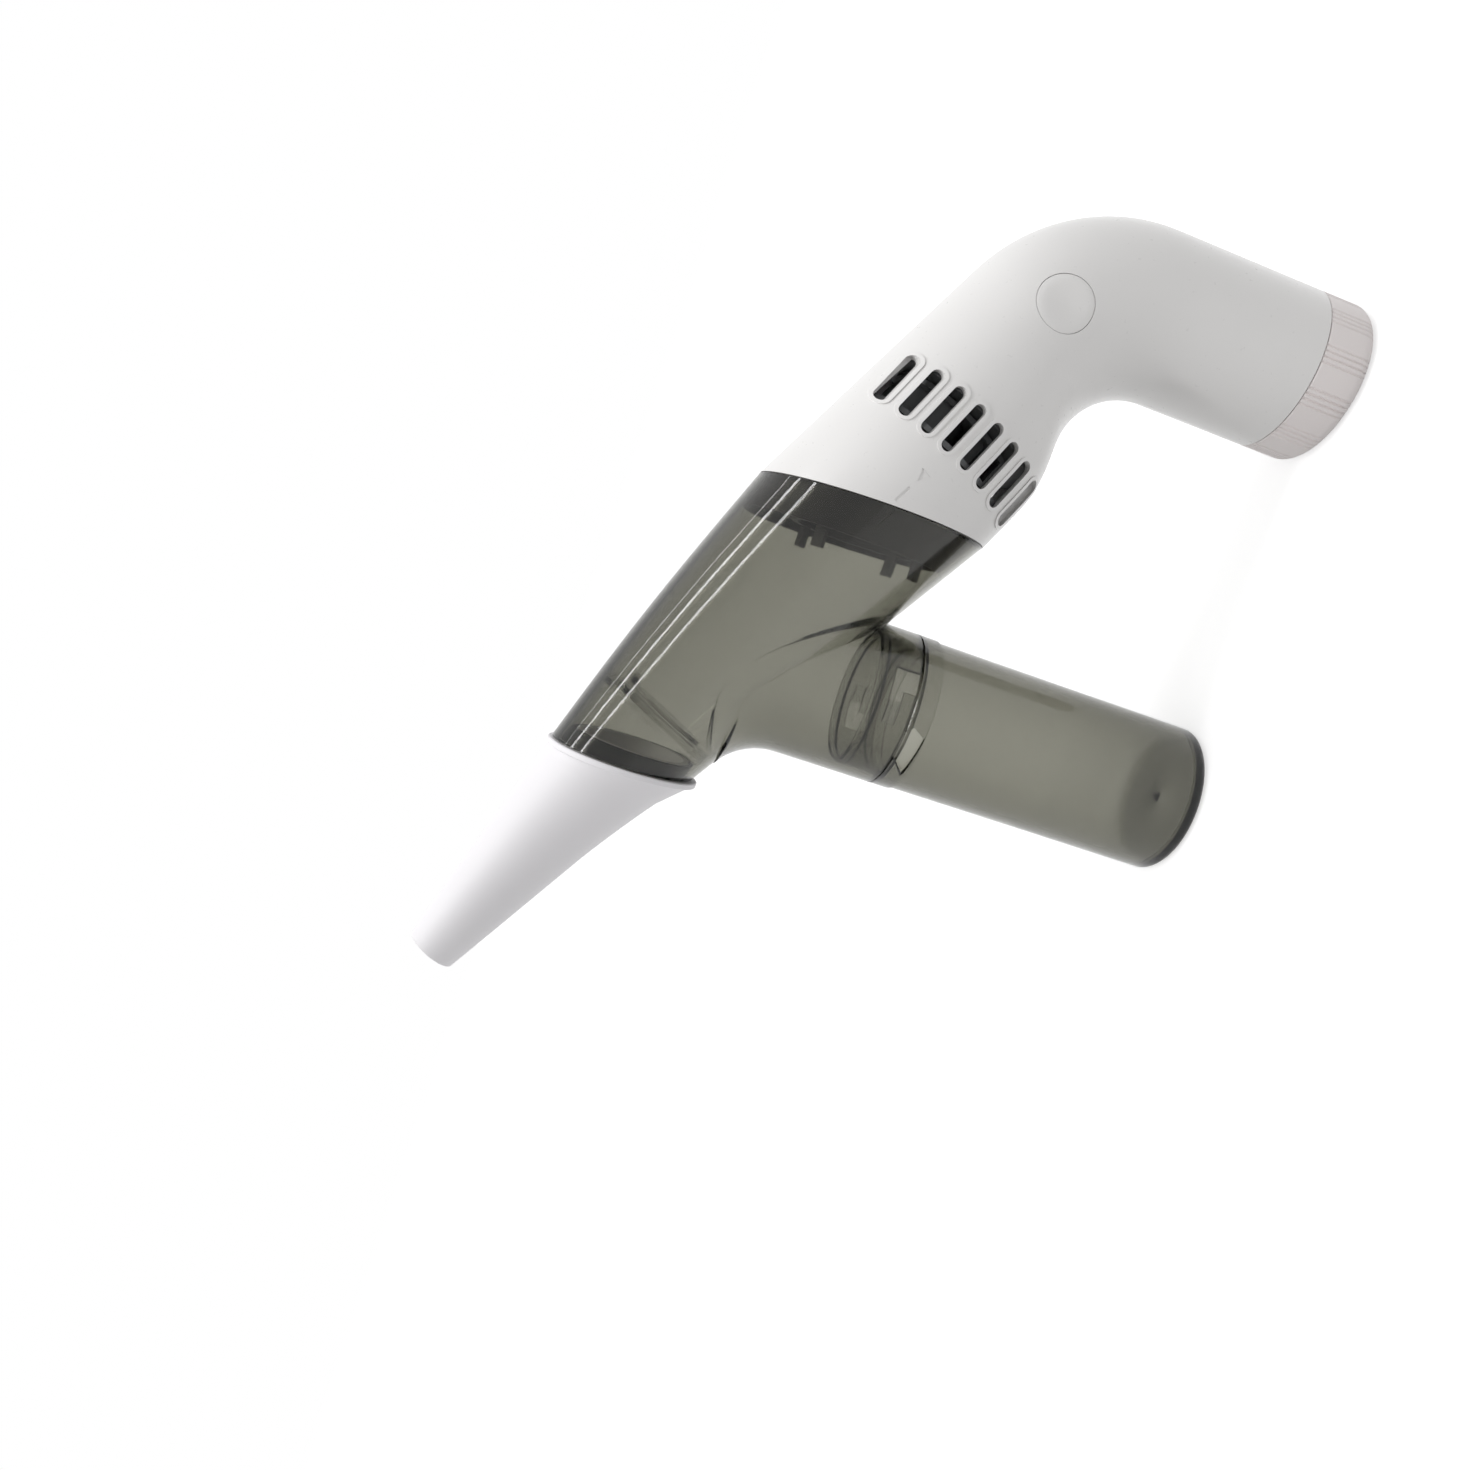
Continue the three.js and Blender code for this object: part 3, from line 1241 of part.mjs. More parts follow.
function flapPin() {
  return onSeat(pinSolid(FLAP_PIN_RADIUS, FLAP_BARREL_HALF + GAP + FLAP_EAR));
}

// Leads: round wires along smooth routes, from the battery contacts through the switch

function lead(points) {
  const route = new THREE.CatmullRomCurve3(points);
  const shape = new THREE.Shape();
  for (let side = 0; side < LEAD_SIDES; side += 1) {
    const turn = (side / LEAD_SIDES) * Math.PI * 2;
    const spot = [LEAD_RADIUS * Math.cos(turn), LEAD_RADIUS * Math.sin(turn)];
    if (side === 0) shape.moveTo(...spot);
    else shape.lineTo(...spot);
  }
  shape.closePath();
  const geometry = new THREE.ExtrudeGeometry(shape, { steps: LEAD_STEPS, extrudePath: route });
  return toSolid(geometry);
}

// A spot behind one of the motor's terminals, from the upper one at side -1 to the lower at 1
function terminalSpot(side, reach) {
  const spot = new THREE.Vector3((side * MOTOR_RADIUS) / 2, 0, motorEnd + reach);
  return spot.applyMatrix4(alongMatrix(fanX, fanZ, -BODY_TILT));
}

function contactSpot(side, rise) {
  return new THREE.Vector3(handleX - CONTACT_RADIUS / 2, side * cellOffset, carrierTop + rise);
}

// A spot above the switch's inner face
function switchSpot(across, rise, reach) {
  return new THREE.Vector3(buttonX + across, switchDepth - switchFace + reach, BUTTON_Z + rise);
}

function leadRoutes() {
  const quarter = SWITCH_SIZE / 4;
  return {
    lead_positive: [
      contactSpot(-1, 0),
      contactSpot(-1, LEAD_RISE),
      contactSpot(-1, LEAD_RISE * 2).add(new THREE.Vector3(-CONTACT_RADIUS / 4, GAP, 0)),
      switchSpot(quarter + LEAD_BOW, -quarter - LEAD_BOW, LEAD_BOW),
      switchSpot(quarter, -quarter, LEAD_BOW),
      switchSpot(quarter, -quarter, LEAD_GAP),
    ],
    lead_switched: [
      switchSpot(-quarter / 2, quarter, LEAD_GAP),
      switchSpot(0, quarter, LEAD_BOW),
      terminalSpot(-1, LEAD_SWING).add(new THREE.Vector3(0, -LEAD_BOW, 0)),
      terminalSpot(-1, LEAD_BOW),
      terminalSpot(-1, LEAD_GAP),
    ],
    lead_negative: [
      contactSpot(1, 0),
      contactSpot(1, LEAD_RISE),
      contactSpot(1, LEAD_RISE * 2).add(new THREE.Vector3(-CONTACT_RADIUS / 2, -LEAD_BOW / 2, 0)),
      terminalSpot(1, LEAD_SWING).add(new THREE.Vector3(0, LEAD_BOW / 2, 0)),
      terminalSpot(1, LEAD_BOW),
      terminalSpot(1, LEAD_GAP),
    ],
  };
}

// The scene

function paint(color, roughness, metalness = 0, opacity = 1) {
  return new THREE.MeshStandardMaterial({
    color, roughness, metalness, opacity, transparent: opacity < 1,
  });
}

const paints = {
  white: () => paint(0xe9e7e3, 0.3),
  cap: () => paint(0xddd6d1, 0.5),
  nozzle: () => paint(0xe7e5e9, 0.45),
  smoke: () => paint(0x8a8776, 0.12, 0, 0.5),
  black: () => paint(0x2c2a29, 0.45),
  grey: () => paint(0x6d6f72, 0.5),
  rubber: () => paint(0x202020, 0.8),
  steel: () => paint(0xb8babd, 0.3, 1),
  brass: () => paint(0xc9a55a, 0.35, 1),
  red: () => paint(0xb02a24, 0.5),
  cell: () => paint(0x3c6a58, 0.4),
};

function piece(name, solid, material) {
  const mesh = new THREE.Mesh(toGeometry(solid), material());
  mesh.name = name;
  return mesh;
}

function placedGroup(x, z, pieces) {
  const group = new THREE.Group();
  group.position.set(x, 0, z);
  group.add(...pieces);
  return group;
}

function housingGroup() {
  const { near, far } = shells();
  const group = new THREE.Group();
  group.add(piece('housing_near_shell', near, paints.white));
  group.add(piece('housing_far_shell', far, paints.white));
  screwPlaces.forEach(([x, z], place) => {
    const made = setAcross(screw(), x, z);
    group.add(piece(`housing_screw_${place + 1}`, made, paints.steel));
  });
  group.add(piece('switch_body', switchBody(), paints.black));
  group.add(piece('switch_button', button(), paints.white));
  return group;
}

function batteryGroup() {
  const cells = cellSides.map((side, place) => {
    const made = onSpot(cell(place > 0), 0, side * cellOffset, 0);
    return piece(`battery_cell_${place + 1}`, made, paints.cell);
  });
  const contacts = cellSides.map((side, place) => {
    const name = place > 0 ? 'contact_negative' : 'contact_positive';
    return piece(name, onSpot(contactPlate(), 0, side * cellOffset, 0), paints.brass);
  });
  return placedGroup(handleX, 0, [
    piece('battery_cap', capSolid(), paints.cap),
    piece('battery_cap_seal', capSeal(), paints.rubber),
    piece('battery_cap_contact', capContact(), paints.brass),
    ...cells,
    ...contacts,
  ]);
}

function fanGroup() {
  const group = new THREE.Group();
  group.applyMatrix4(alongMatrix(fanX, fanZ, -BODY_TILT));
  group.add(piece('motor_can', motorCan(), paints.steel));
  group.add(piece('motor_end_bell', motorBell(), paints.black));
  group.add(piece('motor_shaft', motorShaft(), paints.steel));
  group.add(piece('impeller', impeller(), paints.grey));
  return group;
}

function chamberGroup() {
  const group = new THREE.Group();
  group.add(piece('coupling_ring', couplingRing(), paints.black));
  const couplingSeal = onSeam(ringSeal(spigotRadius - SEAL_SINK, ringSealHeight));
  group.add(piece('coupling_seal', couplingSeal, paints.rubber));
  group.add(piece('filter_frame', filterFrame(), paints.black));
  group.add(piece('filter_mesh', filterMesh(), paints.steel));
  group.add(piece('chamber', chamberShell(), paints.smoke));
  group.add(piece('chamber_collar', chamberCollar(), paints.black));
  group.add(piece('collection_tube', tubeSolid(), paints.smoke));
  group.add(piece('tube_seal', tubeSeal(), paints.rubber));
  group.add(piece('nozzle', nozzle(), paints.nozzle));
  group.add(piece('nozzle_seal', nozzleSeal(), paints.rubber));
  group.add(piece('inlet_seat', inletSeat(), paints.black));
  group.add(piece('inlet_flap', inletFlap(), paints.black));
  group.add(piece('flap_pin', flapPin(), paints.steel));
  return group;
}

function mountGroup() {
  const group = new THREE.Group();
  Object.entries(leadRoutes()).forEach(([name, points]) => {
    group.add(piece(name, lead(points), name === 'lead_negative' ? paints.rubber : paints.red));
  });
  group.add(piece('motor_cradle', motorCradle(), paints.grey));
  group.add(piece('fan_inlet_plate', inletPlate(), paints.grey));
  group.add(piece('battery_carrier', carrier(), paints.grey));
  return group;
}

const device = new THREE.Group();
device.add(housingGroup(), batteryGroup(), fanGroup(), mountGroup(), chamberGroup());

// The origin lies on the floor, below the middle of the object's length
const bounds = new THREE.Box3().setFromObject(device);
device.position.x = -(bounds.min.x + bounds.max.x) / 2;

export default device;
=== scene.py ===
import json
import math

import bmesh
import bpy
from mathutils import Matrix, Vector

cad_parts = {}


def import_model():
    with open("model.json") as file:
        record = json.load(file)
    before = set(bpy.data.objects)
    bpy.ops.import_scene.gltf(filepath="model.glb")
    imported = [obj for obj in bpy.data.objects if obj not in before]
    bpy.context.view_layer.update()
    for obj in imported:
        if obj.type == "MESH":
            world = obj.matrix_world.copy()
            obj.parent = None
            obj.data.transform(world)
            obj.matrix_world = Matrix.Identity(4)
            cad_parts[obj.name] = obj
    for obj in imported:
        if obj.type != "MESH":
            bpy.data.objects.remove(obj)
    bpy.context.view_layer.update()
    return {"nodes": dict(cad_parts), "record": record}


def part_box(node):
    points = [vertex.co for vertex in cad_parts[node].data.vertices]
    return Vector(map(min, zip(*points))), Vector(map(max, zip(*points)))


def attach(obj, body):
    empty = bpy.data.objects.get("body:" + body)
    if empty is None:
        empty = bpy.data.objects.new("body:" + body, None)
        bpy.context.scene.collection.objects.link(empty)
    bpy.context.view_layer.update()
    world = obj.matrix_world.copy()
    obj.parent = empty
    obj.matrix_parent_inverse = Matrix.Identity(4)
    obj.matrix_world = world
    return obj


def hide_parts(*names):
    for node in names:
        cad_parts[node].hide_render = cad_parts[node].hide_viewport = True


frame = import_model()

MM = 0.001
tube_low, tube_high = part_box("collection_tube")
TUBE_X = (tube_low.x + tube_high.x) / 2
_, shell_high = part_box("housing_far_shell")

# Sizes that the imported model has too
GAP = 0.3
OVERRUN = 1.0
TILT = math.radians(24.5)
SEAM_X, SEAM_Z, SEAM_RADIUS = 41.6, 93.9, 27.1
MOUTH_X, MOUTH_Z, MOUTH_RADIUS = -30.5, 130.4, 17.0
HANDLE_RADIUS = 18.9
HANDLE_X = (shell_high.x - TUBE_X) / MM - HANDLE_RADIUS
WALL = 2.0
RIDGE_SLOPE, RIDGE_BEND = math.radians(28.3), 45.0
BELLY_SLOPE, BELLY_LENGTH, BELLY_BEND = math.radians(26), 17.5, 25.0
ARMPIT_Z, ARMPIT_BEND = 59.4, 19.5
FAN_PIVOT_Z = 40.0
CAP_HEIGHT = 12.5
NECK_STEP = 2.4
CHAMBER_WALL, CHAMBER_BULGE = 1.9, 0.9
SPOUT_RADIUS, SPOUT_FOOT, SPOUT_FILLET, SPOUT_RISE = 18.5, 73.9, 15.5, 4.0
SPIGOT_RADIUS, SPIGOT_WALL, SPIGOT_LENGTH = 19.2, 1.9, 6.0
SPIGOT_BORE = SPIGOT_RADIUS - SPIGOT_WALL
NOZZLE_SPIGOT = 3.6
TUBE_NECK_RADIUS = SPOUT_RADIUS - CHAMBER_WALL - GAP
TUBE_LUGS, TUBE_LUG_START, TUBE_LUG_ANGLE, TUBE_TRAVEL = 2, -90, 16, 25
TUBE_LUG_RISE, TUBE_LUG_FOOT, TUBE_LUG_HEIGHT = 0.9, 3.0, 2.4
TUBE_LUG_OUTER = TUBE_NECK_RADIUS + TUBE_LUG_RISE
RING_LUGS, RING_LUG_RISE, RING_LUG_HEIGHT, RING_LUG_ANGLE = 4, 1.3, 1.9, 16
CHAMBER_TRAVEL = 20

# How a tool that works on one side reaches: from well inside the wall to beyond it
REACH_IN, REACH_OUT = 10.0, 30.0
# Points in a full ring, and the angle in degrees from which an edge is shaded sharp
RING, SHARP = 128, 32.0

RIDGE_TOP = Vector((SEAM_X, SEAM_Z + SEAM_RADIUS))
BELLY_TOP = Vector((SEAM_X, SEAM_Z - SEAM_RADIUS))
UPRIGHT = Matrix.Identity(4)
TO_SEAM = Matrix.Translation((SEAM_X, 0, SEAM_Z)) @ Matrix.Rotation(math.pi / 2, 4, "Y")


def at(x, y, z):
    """A place in the frame, in metres."""
    return Vector((TUBE_X + x * MM, y * MM, z * MM))


def mix(a, b, share):
    return a + (b - a) * share


def polar(radius, angle):
    return radius * math.cos(angle), radius * math.sin(angle)


def quarter(steps):
    """The angles of a quarter turn, from 0 on."""
    return [math.pi / 2 * step / steps for step in range(steps + 1)]


# Outlines in the plane of symmetry, as (x, z)


def rounded(corners, radii, steps=24):
    """A line through corners, with an arc of its own radius at each corner between the ends."""
    points = [Vector(corners[0])]
    for place in range(1, len(corners) - 1):
        corner = Vector(corners[place])
        back = (Vector(corners[place - 1]) - corner).normalized()
        ahead = (Vector(corners[place + 1]) - corner).normalized()
        half = math.acos(back.dot(ahead)) / 2
        radius = radii[place - 1]
        start = corner + back * (radius / math.tan(half))
        finish = corner + ahead * (radius / math.tan(half))
        centre = corner + (back + ahead).normalized() * (radius / math.sin(half))
        spoke = start - centre
        other = finish - centre
        turn = math.copysign(math.pi - 2 * half, spoke.x * other.y - spoke.y * other.x)
        for step in range(steps + 1):
            angle = turn * step / steps
            points.append(centre + Vector((
                spoke.x * math.cos(angle) - spoke.y * math.sin(angle),
                spoke.x * math.sin(angle) + spoke.y * math.cos(angle))))
    points.append(Vector(corners[-1]))
    return points


def crossing(outline, pivot, angle):
    """Where a ray from a pivot meets an outline, or else the outline's end."""
    ray = Vector(polar(1, angle))
    for first, second in zip(outline, outline[1:]):
        a, b = first - pivot, second - pivot
        before, after = ray.x * a.y - ray.y * a.x, ray.x * b.y - ray.y * b.x
        if before * after > 0 or a.dot(ray) < 0:
            continue
        return a.lerp(b, before / (before - after)) + pivot
    return outline[-1].copy()


def housing_sections(steps=72):
    """The housing's ovals from the seam to the handle's end: top, bottom and half width of each."""
    back, front = HANDLE_X + HANDLE_RADIUS, HANDLE_X - HANDLE_RADIUS
    drop = (back - SEAM_X) * math.tan(RIDGE_SLOPE)
    ridge = rounded([RIDGE_TOP, (back, RIDGE_TOP.y - drop), (back, CAP_HEIGHT)], [RIDGE_BEND])
    belly = BELLY_TOP + Vector(polar(BELLY_LENGTH, -BELLY_SLOPE))
    under = rounded([BELLY_TOP, belly, (front, ARMPIT_Z), (front, CAP_HEIGHT)], [BELLY_BEND, ARMPIT_BEND])
    pivot = Vector((SEAM_X, FAN_PIVOT_Z))
    sections = [(RIDGE_TOP, BELLY_TOP, SEAM_RADIUS)]
    for step in range(1, steps + 1):
        share = step / steps
        angle = (1 - share) * math.pi / 2
        side = mix(SEAM_RADIUS, HANDLE_RADIUS, share * share * (3 - 2 * share))
        sections.append((crossing(ridge, pivot, angle), crossing(under, pivot, angle), side))
    sections.append((Vector((back, CAP_HEIGHT)), Vector((front, CAP_HEIGHT)), HANDLE_RADIUS))
    return sections


SECTIONS = housing_sections()


def wall_at(x, z):
    """Half width of the housing's outer surface at a place in the plane of symmetry."""
    spot = Vector((x, z))
    def side_of(section):
        upper, lower, _ = section
        line, away = lower - upper, spot - upper
        return line.x * away.y - line.y * away.x
    for one, two in zip(SECTIONS, SECTIONS[1:]):
        before, after = side_of(one), side_of(two)
        if before * after > 0 or before == after:
            continue
        share = before / (before - after)
        upper, lower = one[0].lerp(two[0], share), one[1].lerp(two[1], share)
        height = (spot - lower).dot(upper - lower) / (upper - lower).length_squared
        return mix(one[2], two[2], share) * math.sqrt(max(0.0, 1 - (2 * height - 1) ** 2))
    return HANDLE_RADIUS


def chamber_form(x, inset):
    """Top, bottom and half width of the chamber's form at a place along X, drawn in by an inset."""
    share = (x - MOUTH_X) / (SEAM_X - MOUTH_X)
    radius = mix(MOUTH_RADIUS, SEAM_RADIUS, share) - inset
    swell = CHAMBER_BULGE * math.sin(math.pi * min(1, max(0, share)))
    middle = mix(MOUTH_Z, SEAM_Z, share)
    return middle + radius + swell, middle - radius, radius


# Flat outlines for prisms and turned pieces


def disc_outline(radius, count=64):
    return [polar(radius, math.tau * step / count) for step in range(count)]


def box_outline(width, height):
    right, top = width / 2, height / 2
    return [(-right, -top), (right, -top), (right, top), (-right, top)]


def sector_outline(inner, outer, start, finish, steps=12):
    angles = [math.radians(mix(start, finish, step / steps)) for step in range(steps + 1)]
    return [polar(outer, angle) for angle in angles] + [polar(inner, angle) for angle in reversed(angles)]


def stadium(length, width, steps=10):
    """A long outline with round ends."""
    half, radius = (length - width) / 2, width / 2
    points = []
    for end in (1, -1):
        for step in range(steps + 1):
            x, y = polar(radius, math.pi * (step / steps - end / 2))
            points.append((end * half + x, y))
    return points


def seal_profile(radius, height, section, sides=20):
    return [(radius + x, height + y) for x, y in disc_outline(section, sides)]


# Rings of points in the frame


def oval(upper, lower, side, inset=0.0, count=RING, start=0.0, turn=math.tau):
    """An upright oval between two places in the plane of symmetry, or the part that a turn spans."""
    inward = (lower - upper).normalized() * inset
    top, bottom = upper + inward, lower - inward
    points = []
    for step in range(count):
        angle = start + turn * step / (count if turn == math.tau else count - 1)
        spot = bottom.lerp(top, (1 + math.cos(angle)) / 2)
        points.append(at(spot.x, -(side - inset) * math.sin(angle), spot.y))
    return points


def section_ring(x, top, bottom, side):
    return oval(Vector((x, top)), Vector((x, bottom)), side)


def ring_at(x, radius, middle=SEAM_Z):
    return section_ring(x, middle + radius, middle - radius, radius)


def chamber_ring(x, inset):
    return section_ring(x, *chamber_form(x, inset))


# Meshes


def linked(name, data):
    made = bpy.data.objects.new(name, data)
    bpy.context.scene.collection.objects.link(made)
    return made


def smooth(piece, sharp=SHARP):
    piece.data.shade_smooth()
    piece.data.set_sharp_from_angle(angle=math.radians(sharp))


def object_from(name, points, faces, sharp=SHARP):
    mesh = bpy.data.meshes.new(name)
    mesh.from_pydata([tuple(point) for point in points], [], faces)
    mesh.validate()
    work = bmesh.new()
    work.from_mesh(mesh)
    bmesh.ops.recalc_face_normals(work, faces=work.faces)
    work.to_mesh(mesh)
    work.free()
    piece = linked(name, mesh)
    smooth(piece, sharp)
    return piece


def lofted(name, rings, closed=False, sharp=SHARP):
    """Rings joined in order. A closed loft joins its last ring to its first."""
    count = len(rings[0])
    points = [point for ring in rings for point in ring]
    faces = []
    rows = len(rings) if closed else len(rings) - 1
    for row in range(rows):
        after = (row + 1) % len(rings)
        for step in range(count):
            following = (step + 1) % count
            faces.append((row * count + step, row * count + following,
                          after * count + following, after * count + step))
    if not closed:
        faces.append(tuple(range(count))[::-1])
        faces.append(tuple(range((len(rings) - 1) * count, len(rings) * count)))
    return object_from(name, points, faces, sharp)


def turned(name, profile, spot=(0, 0, 0), axis=(0, 0, 1)):
    """A turned piece from (radius, height) points. It closes on the axis or on itself."""
    matrix = Vector((0, 0, 1)).rotation_difference(Vector(axis)).to_matrix()
    points, faces, rows = [], [], []
    for radius, height in profile:
        row = []
        for step in range(1 if radius == 0 else RING):
            local = matrix @ Vector((*polar(radius, math.tau * step / RING), height))
            row.append(len(points))
            points.append(at(*(Vector(spot) + local)))
        rows.append(row)
    if profile[0][0] > 0:
        rows.append(rows[0])
    for one, two in zip(rows, rows[1:]):
        for step in range(RING):
            after = (step + 1) % RING
            loop = [one[step % len(one)], one[after % len(one)],
                    two[after % len(two)], two[step % len(two)]]
            loop = [corner for place, corner in enumerate(loop) if corner not in loop[:place]]
            if len(loop) > 2:
                faces.append(tuple(loop))
    return object_from(name, points, faces)


def prism(name, outline, low, high, matrix):
    """A straight prism between two heights of a flat outline, set in place by a matrix."""
    count = len(outline)
    points = [at(*(matrix @ Vector((x, y, z)))) for z in (low, high) for x, y in outline]
    faces = [tuple(range(count))[::-1], tuple(range(count, 2 * count))]
    for step in range(count):
        after = (step + 1) % count
        faces.append((step, after, count + after, count + step))
    return object_from(name, points, faces)


def across(x, z, lean=0.0):
    """A place in the plane of symmetry for a prism that runs to the near side."""
    upright = Matrix.Translation((x, 0, z)) @ Matrix.Rotation(lean, 4, "Y")
    return upright @ Matrix.Rotation(math.pi / 2, 4, "X")


def cut(piece, tool, how="DIFFERENCE"):
    """Applies a boolean with a tool, which is used up."""
    change = piece.modifiers.new("change", "BOOLEAN")
    change.object = tool
    change.operation = how
    change.solver = "EXACT"
    bpy.context.view_layer.objects.active = piece
    for other in bpy.context.selected_objects:
        other.select_set(False)
    piece.select_set(True)
    bpy.ops.object.modifier_apply(modifier=change.name)
    bpy.data.objects.remove(tool)
    smooth(piece)


def gathered(name, pieces):
    """Pieces that don't touch, as one object."""
    points, faces = [], []
    for piece in pieces:
        start = len(points)
        points += [vertex.co.copy() for vertex in piece.data.vertices]
        faces += [[start + corner for corner in face.vertices] for face in piece.data.polygons]
        bpy.data.objects.remove(piece)
    return object_from(name, points, faces)


def alike(name, outline, low, high, places):
    """The same prism at several places, as one object."""
    return gathered(name, [prism(name, outline, low, high, place) for place in places])


def ring_of_lugs(name, inner, outer, angles, low, high, matrix):
    """Sectors round an axis, as one object. The angles are how many, the first one's and their width."""
    count, start, width = angles
    sectors = []
    for place in range(count):
        middle = start + 360 * place / count
        sectors.append(sector_outline(inner, outer, middle - width / 2, middle + width / 2))
    return gathered(name, [prism(name, sector, low, high, matrix) for sector in sectors])


# Materials


def set_inputs(node, **values):
    """Sets a node's inputs by name, with an underscore for each space."""
    for socket, value in values.items():
        node.inputs[socket.replace("_", " ")].default_value = value
    return node


def combined(tree, operation, one, two):
    """The result of a Math node. Each of its two inputs is a socket or a number."""
    node = tree.nodes.new("ShaderNodeMath")
    node.operation = operation
    for place, value in enumerate((one, two)):
        if isinstance(value, float):
            node.inputs[place].default_value = value
        else:
            tree.links.new(value, node.inputs[place])
    return node.outputs[0]


def new_material(name):
    made = bpy.data.materials.new(name)
    made.use_nodes = True
    return made, made.node_tree, made.node_tree.nodes["Principled BSDF"]


def node_material(name, color, roughness, spread=0.03, bump=0.04, **sockets):
    """Moulded or metal surface: a slow drift of colour and a fine grain in gloss and height."""
    made, tree, shader = new_material(name)
    nodes, links = tree.nodes, tree.links
    set_inputs(shader, **sockets)
    place = nodes.new("ShaderNodeTexCoord")
    slow = set_inputs(nodes.new("ShaderNodeTexNoise"), Scale=28.0, Detail=3.0)
    fine = set_inputs(nodes.new("ShaderNodeTexNoise"), Scale=900.0, Detail=2.0)
    links.new(place.outputs["Object"], slow.inputs["Vector"])
    links.new(place.outputs["Object"], fine.inputs["Vector"])
    tones = nodes.new("ShaderNodeValToRGB")
    stops = ((0.3, 1 - spread), (0.7, 1 + spread))
    for stop, (position, factor) in zip(tones.color_ramp.elements, stops):
        stop.color = [min(1.0, part * factor) for part in color] + [1.0]
        stop.position = position
    links.new(slow.outputs["Fac"], tones.inputs["Fac"])
    links.new(tones.outputs["Color"], shader.inputs["Base Color"])
    gloss_spread = 0.06
    span = set_inputs(nodes.new("ShaderNodeMapRange"),
                      To_Min=max(0.0, roughness - gloss_spread), To_Max=roughness + gloss_spread)
    links.new(fine.outputs["Fac"], span.inputs["Value"])
    links.new(span.outputs["Result"], shader.inputs["Roughness"])
    if bump:
        relief = set_inputs(nodes.new("ShaderNodeBump"), Strength=bump, Distance=0.0001)
        links.new(fine.outputs["Fac"], relief.inputs["Height"])
        links.new(relief.outputs["Normal"], shader.inputs["Normal"])
    return made


def clear_material(name, color, density, roughness):
    """Tinted clear plastic: the tint is in the depth of the wall, and shadows pass through it."""
    made, tree, shader = new_material(name)
    nodes, links = tree.nodes, tree.links
    set_inputs(shader, Base_Color=(1, 1, 1, 1), Transmission_Weight=1.0, IOR=1.46)
    place = nodes.new("ShaderNodeTexCoord")
    fine = set_inputs(nodes.new("ShaderNodeTexNoise"), Scale=60.0)
    links.new(place.outputs["Object"], fine.inputs["Vector"])
    spread = 0.3 * roughness
    span = set_inputs(nodes.new("ShaderNodeMapRange"), To_Min=roughness - spread, To_Max=roughness + spread)
    links.new(fine.outputs["Fac"], span.inputs["Value"])
    links.new(span.outputs["Result"], shader.inputs["Roughness"])
    flow = set_inputs(nodes.new("ShaderNodeMapping"), Scale=(14.0, 60.0, 60.0))
    links.new(place.outputs["Object"], flow.inputs["Vector"])
    wave = set_inputs(nodes.new("ShaderNodeTexNoise"), Scale=1.0, Detail=1.0)
    links.new(flow.outputs["Vector"], wave.inputs["Vector"])
    relief = set_inputs(nodes.new("ShaderNodeBump"), Strength=0.25, Distance=0.0004)
    links.new(wave.outputs["Fac"], relief.inputs["Height"])
    links.new(relief.outputs["Normal"], shader.inputs["Normal"])
    output = nodes["Material Output"]
    inside = set_inputs(nodes.new("ShaderNodeVolumeAbsorption"), Color=color, Density=density)
    links.new(inside.outputs["Volume"], output.inputs["Volume"])
    clear = nodes.new("ShaderNodeBsdfTransparent")
    ray = nodes.new("ShaderNodeLightPath")
    both = nodes.new("ShaderNodeMixShader")
    links.new(ray.outputs["Is Shadow Ray"], both.inputs["Fac"])
    links.new(shader.outputs["BSDF"], both.inputs[1])
    links.new(clear.outputs["BSDF"], both.inputs[2])
    links.new(both.outputs["Shader"], output.inputs["Surface"])
    return made


SLOT_LOOKS = {
    "housing_white": node_material("gloss_white", (0.80, 0.79, 0.78), 0.30, spread=0.012, bump=0.0,
                                   Coat_Weight=0.15, Coat_Roughness=0.2),
    "cap_white": node_material("satin_white", (0.84, 0.79, 0.78), 0.45, spread=0.015, bump=0.03),
    "nozzle_white": node_material("matte_white", (0.82, 0.805, 0.825), 0.5, spread=0.015, bump=0.03),
    "smoke_clear": clear_material("smoke_plastic", (0.285, 0.280, 0.190, 1), 665.0, 0.05),
    "black_plastic": node_material("dark_plastic", (0.045, 0.038, 0.035), 0.42, spread=0.08, bump=0.08),
    "inner_grey": node_material("grey_plastic", (0.16, 0.165, 0.17), 0.5, spread=0.06, bump=0.06),
    "rubber": node_material("seal_rubber", (0.02, 0.02, 0.02), 0.7, spread=0.1, bump=0.12),
    "steel": node_material("bright_steel", (0.60, 0.60, 0.61), 0.24, spread=0.04, Metallic=1.0),
    "motor_metal": node_material("plated_can", (0.62, 0.62, 0.61), 0.32, spread=0.04, bump=0.03,
                                 Metallic=1.0),
    "contact": node_material("plated_contact", (0.75, 0.62, 0.36), 0.3, spread=0.05, Metallic=1.0),
    "cell": node_material("cell_sleeve", (0.06, 0.14, 0.11), 0.35, spread=0.05, bump=0.02),
    "lead_red": node_material("red_insulation", (0.45, 0.03, 0.025), 0.45, spread=0.05),
    "lead_black": node_material("black_insulation", (0.02, 0.02, 0.02), 0.45, spread=0.05),
}
SEAT_LOOK = clear_material("clear_insert", (0.3, 0.29, 0.22, 1), 35.0, 0.08)
FLAP_LOOK = clear_material("clear_silicone", (0.4, 0.38, 0.34, 1), 50.0, 0.12)


def dress_nodes():
    """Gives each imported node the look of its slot."""
    for entry in frame["record"]["subparts"]:
        node = frame["nodes"][entry["node"]]
        node.data.materials.clear()
        node.data.materials.append(SLOT_LOOKS[entry["material_slot"]])


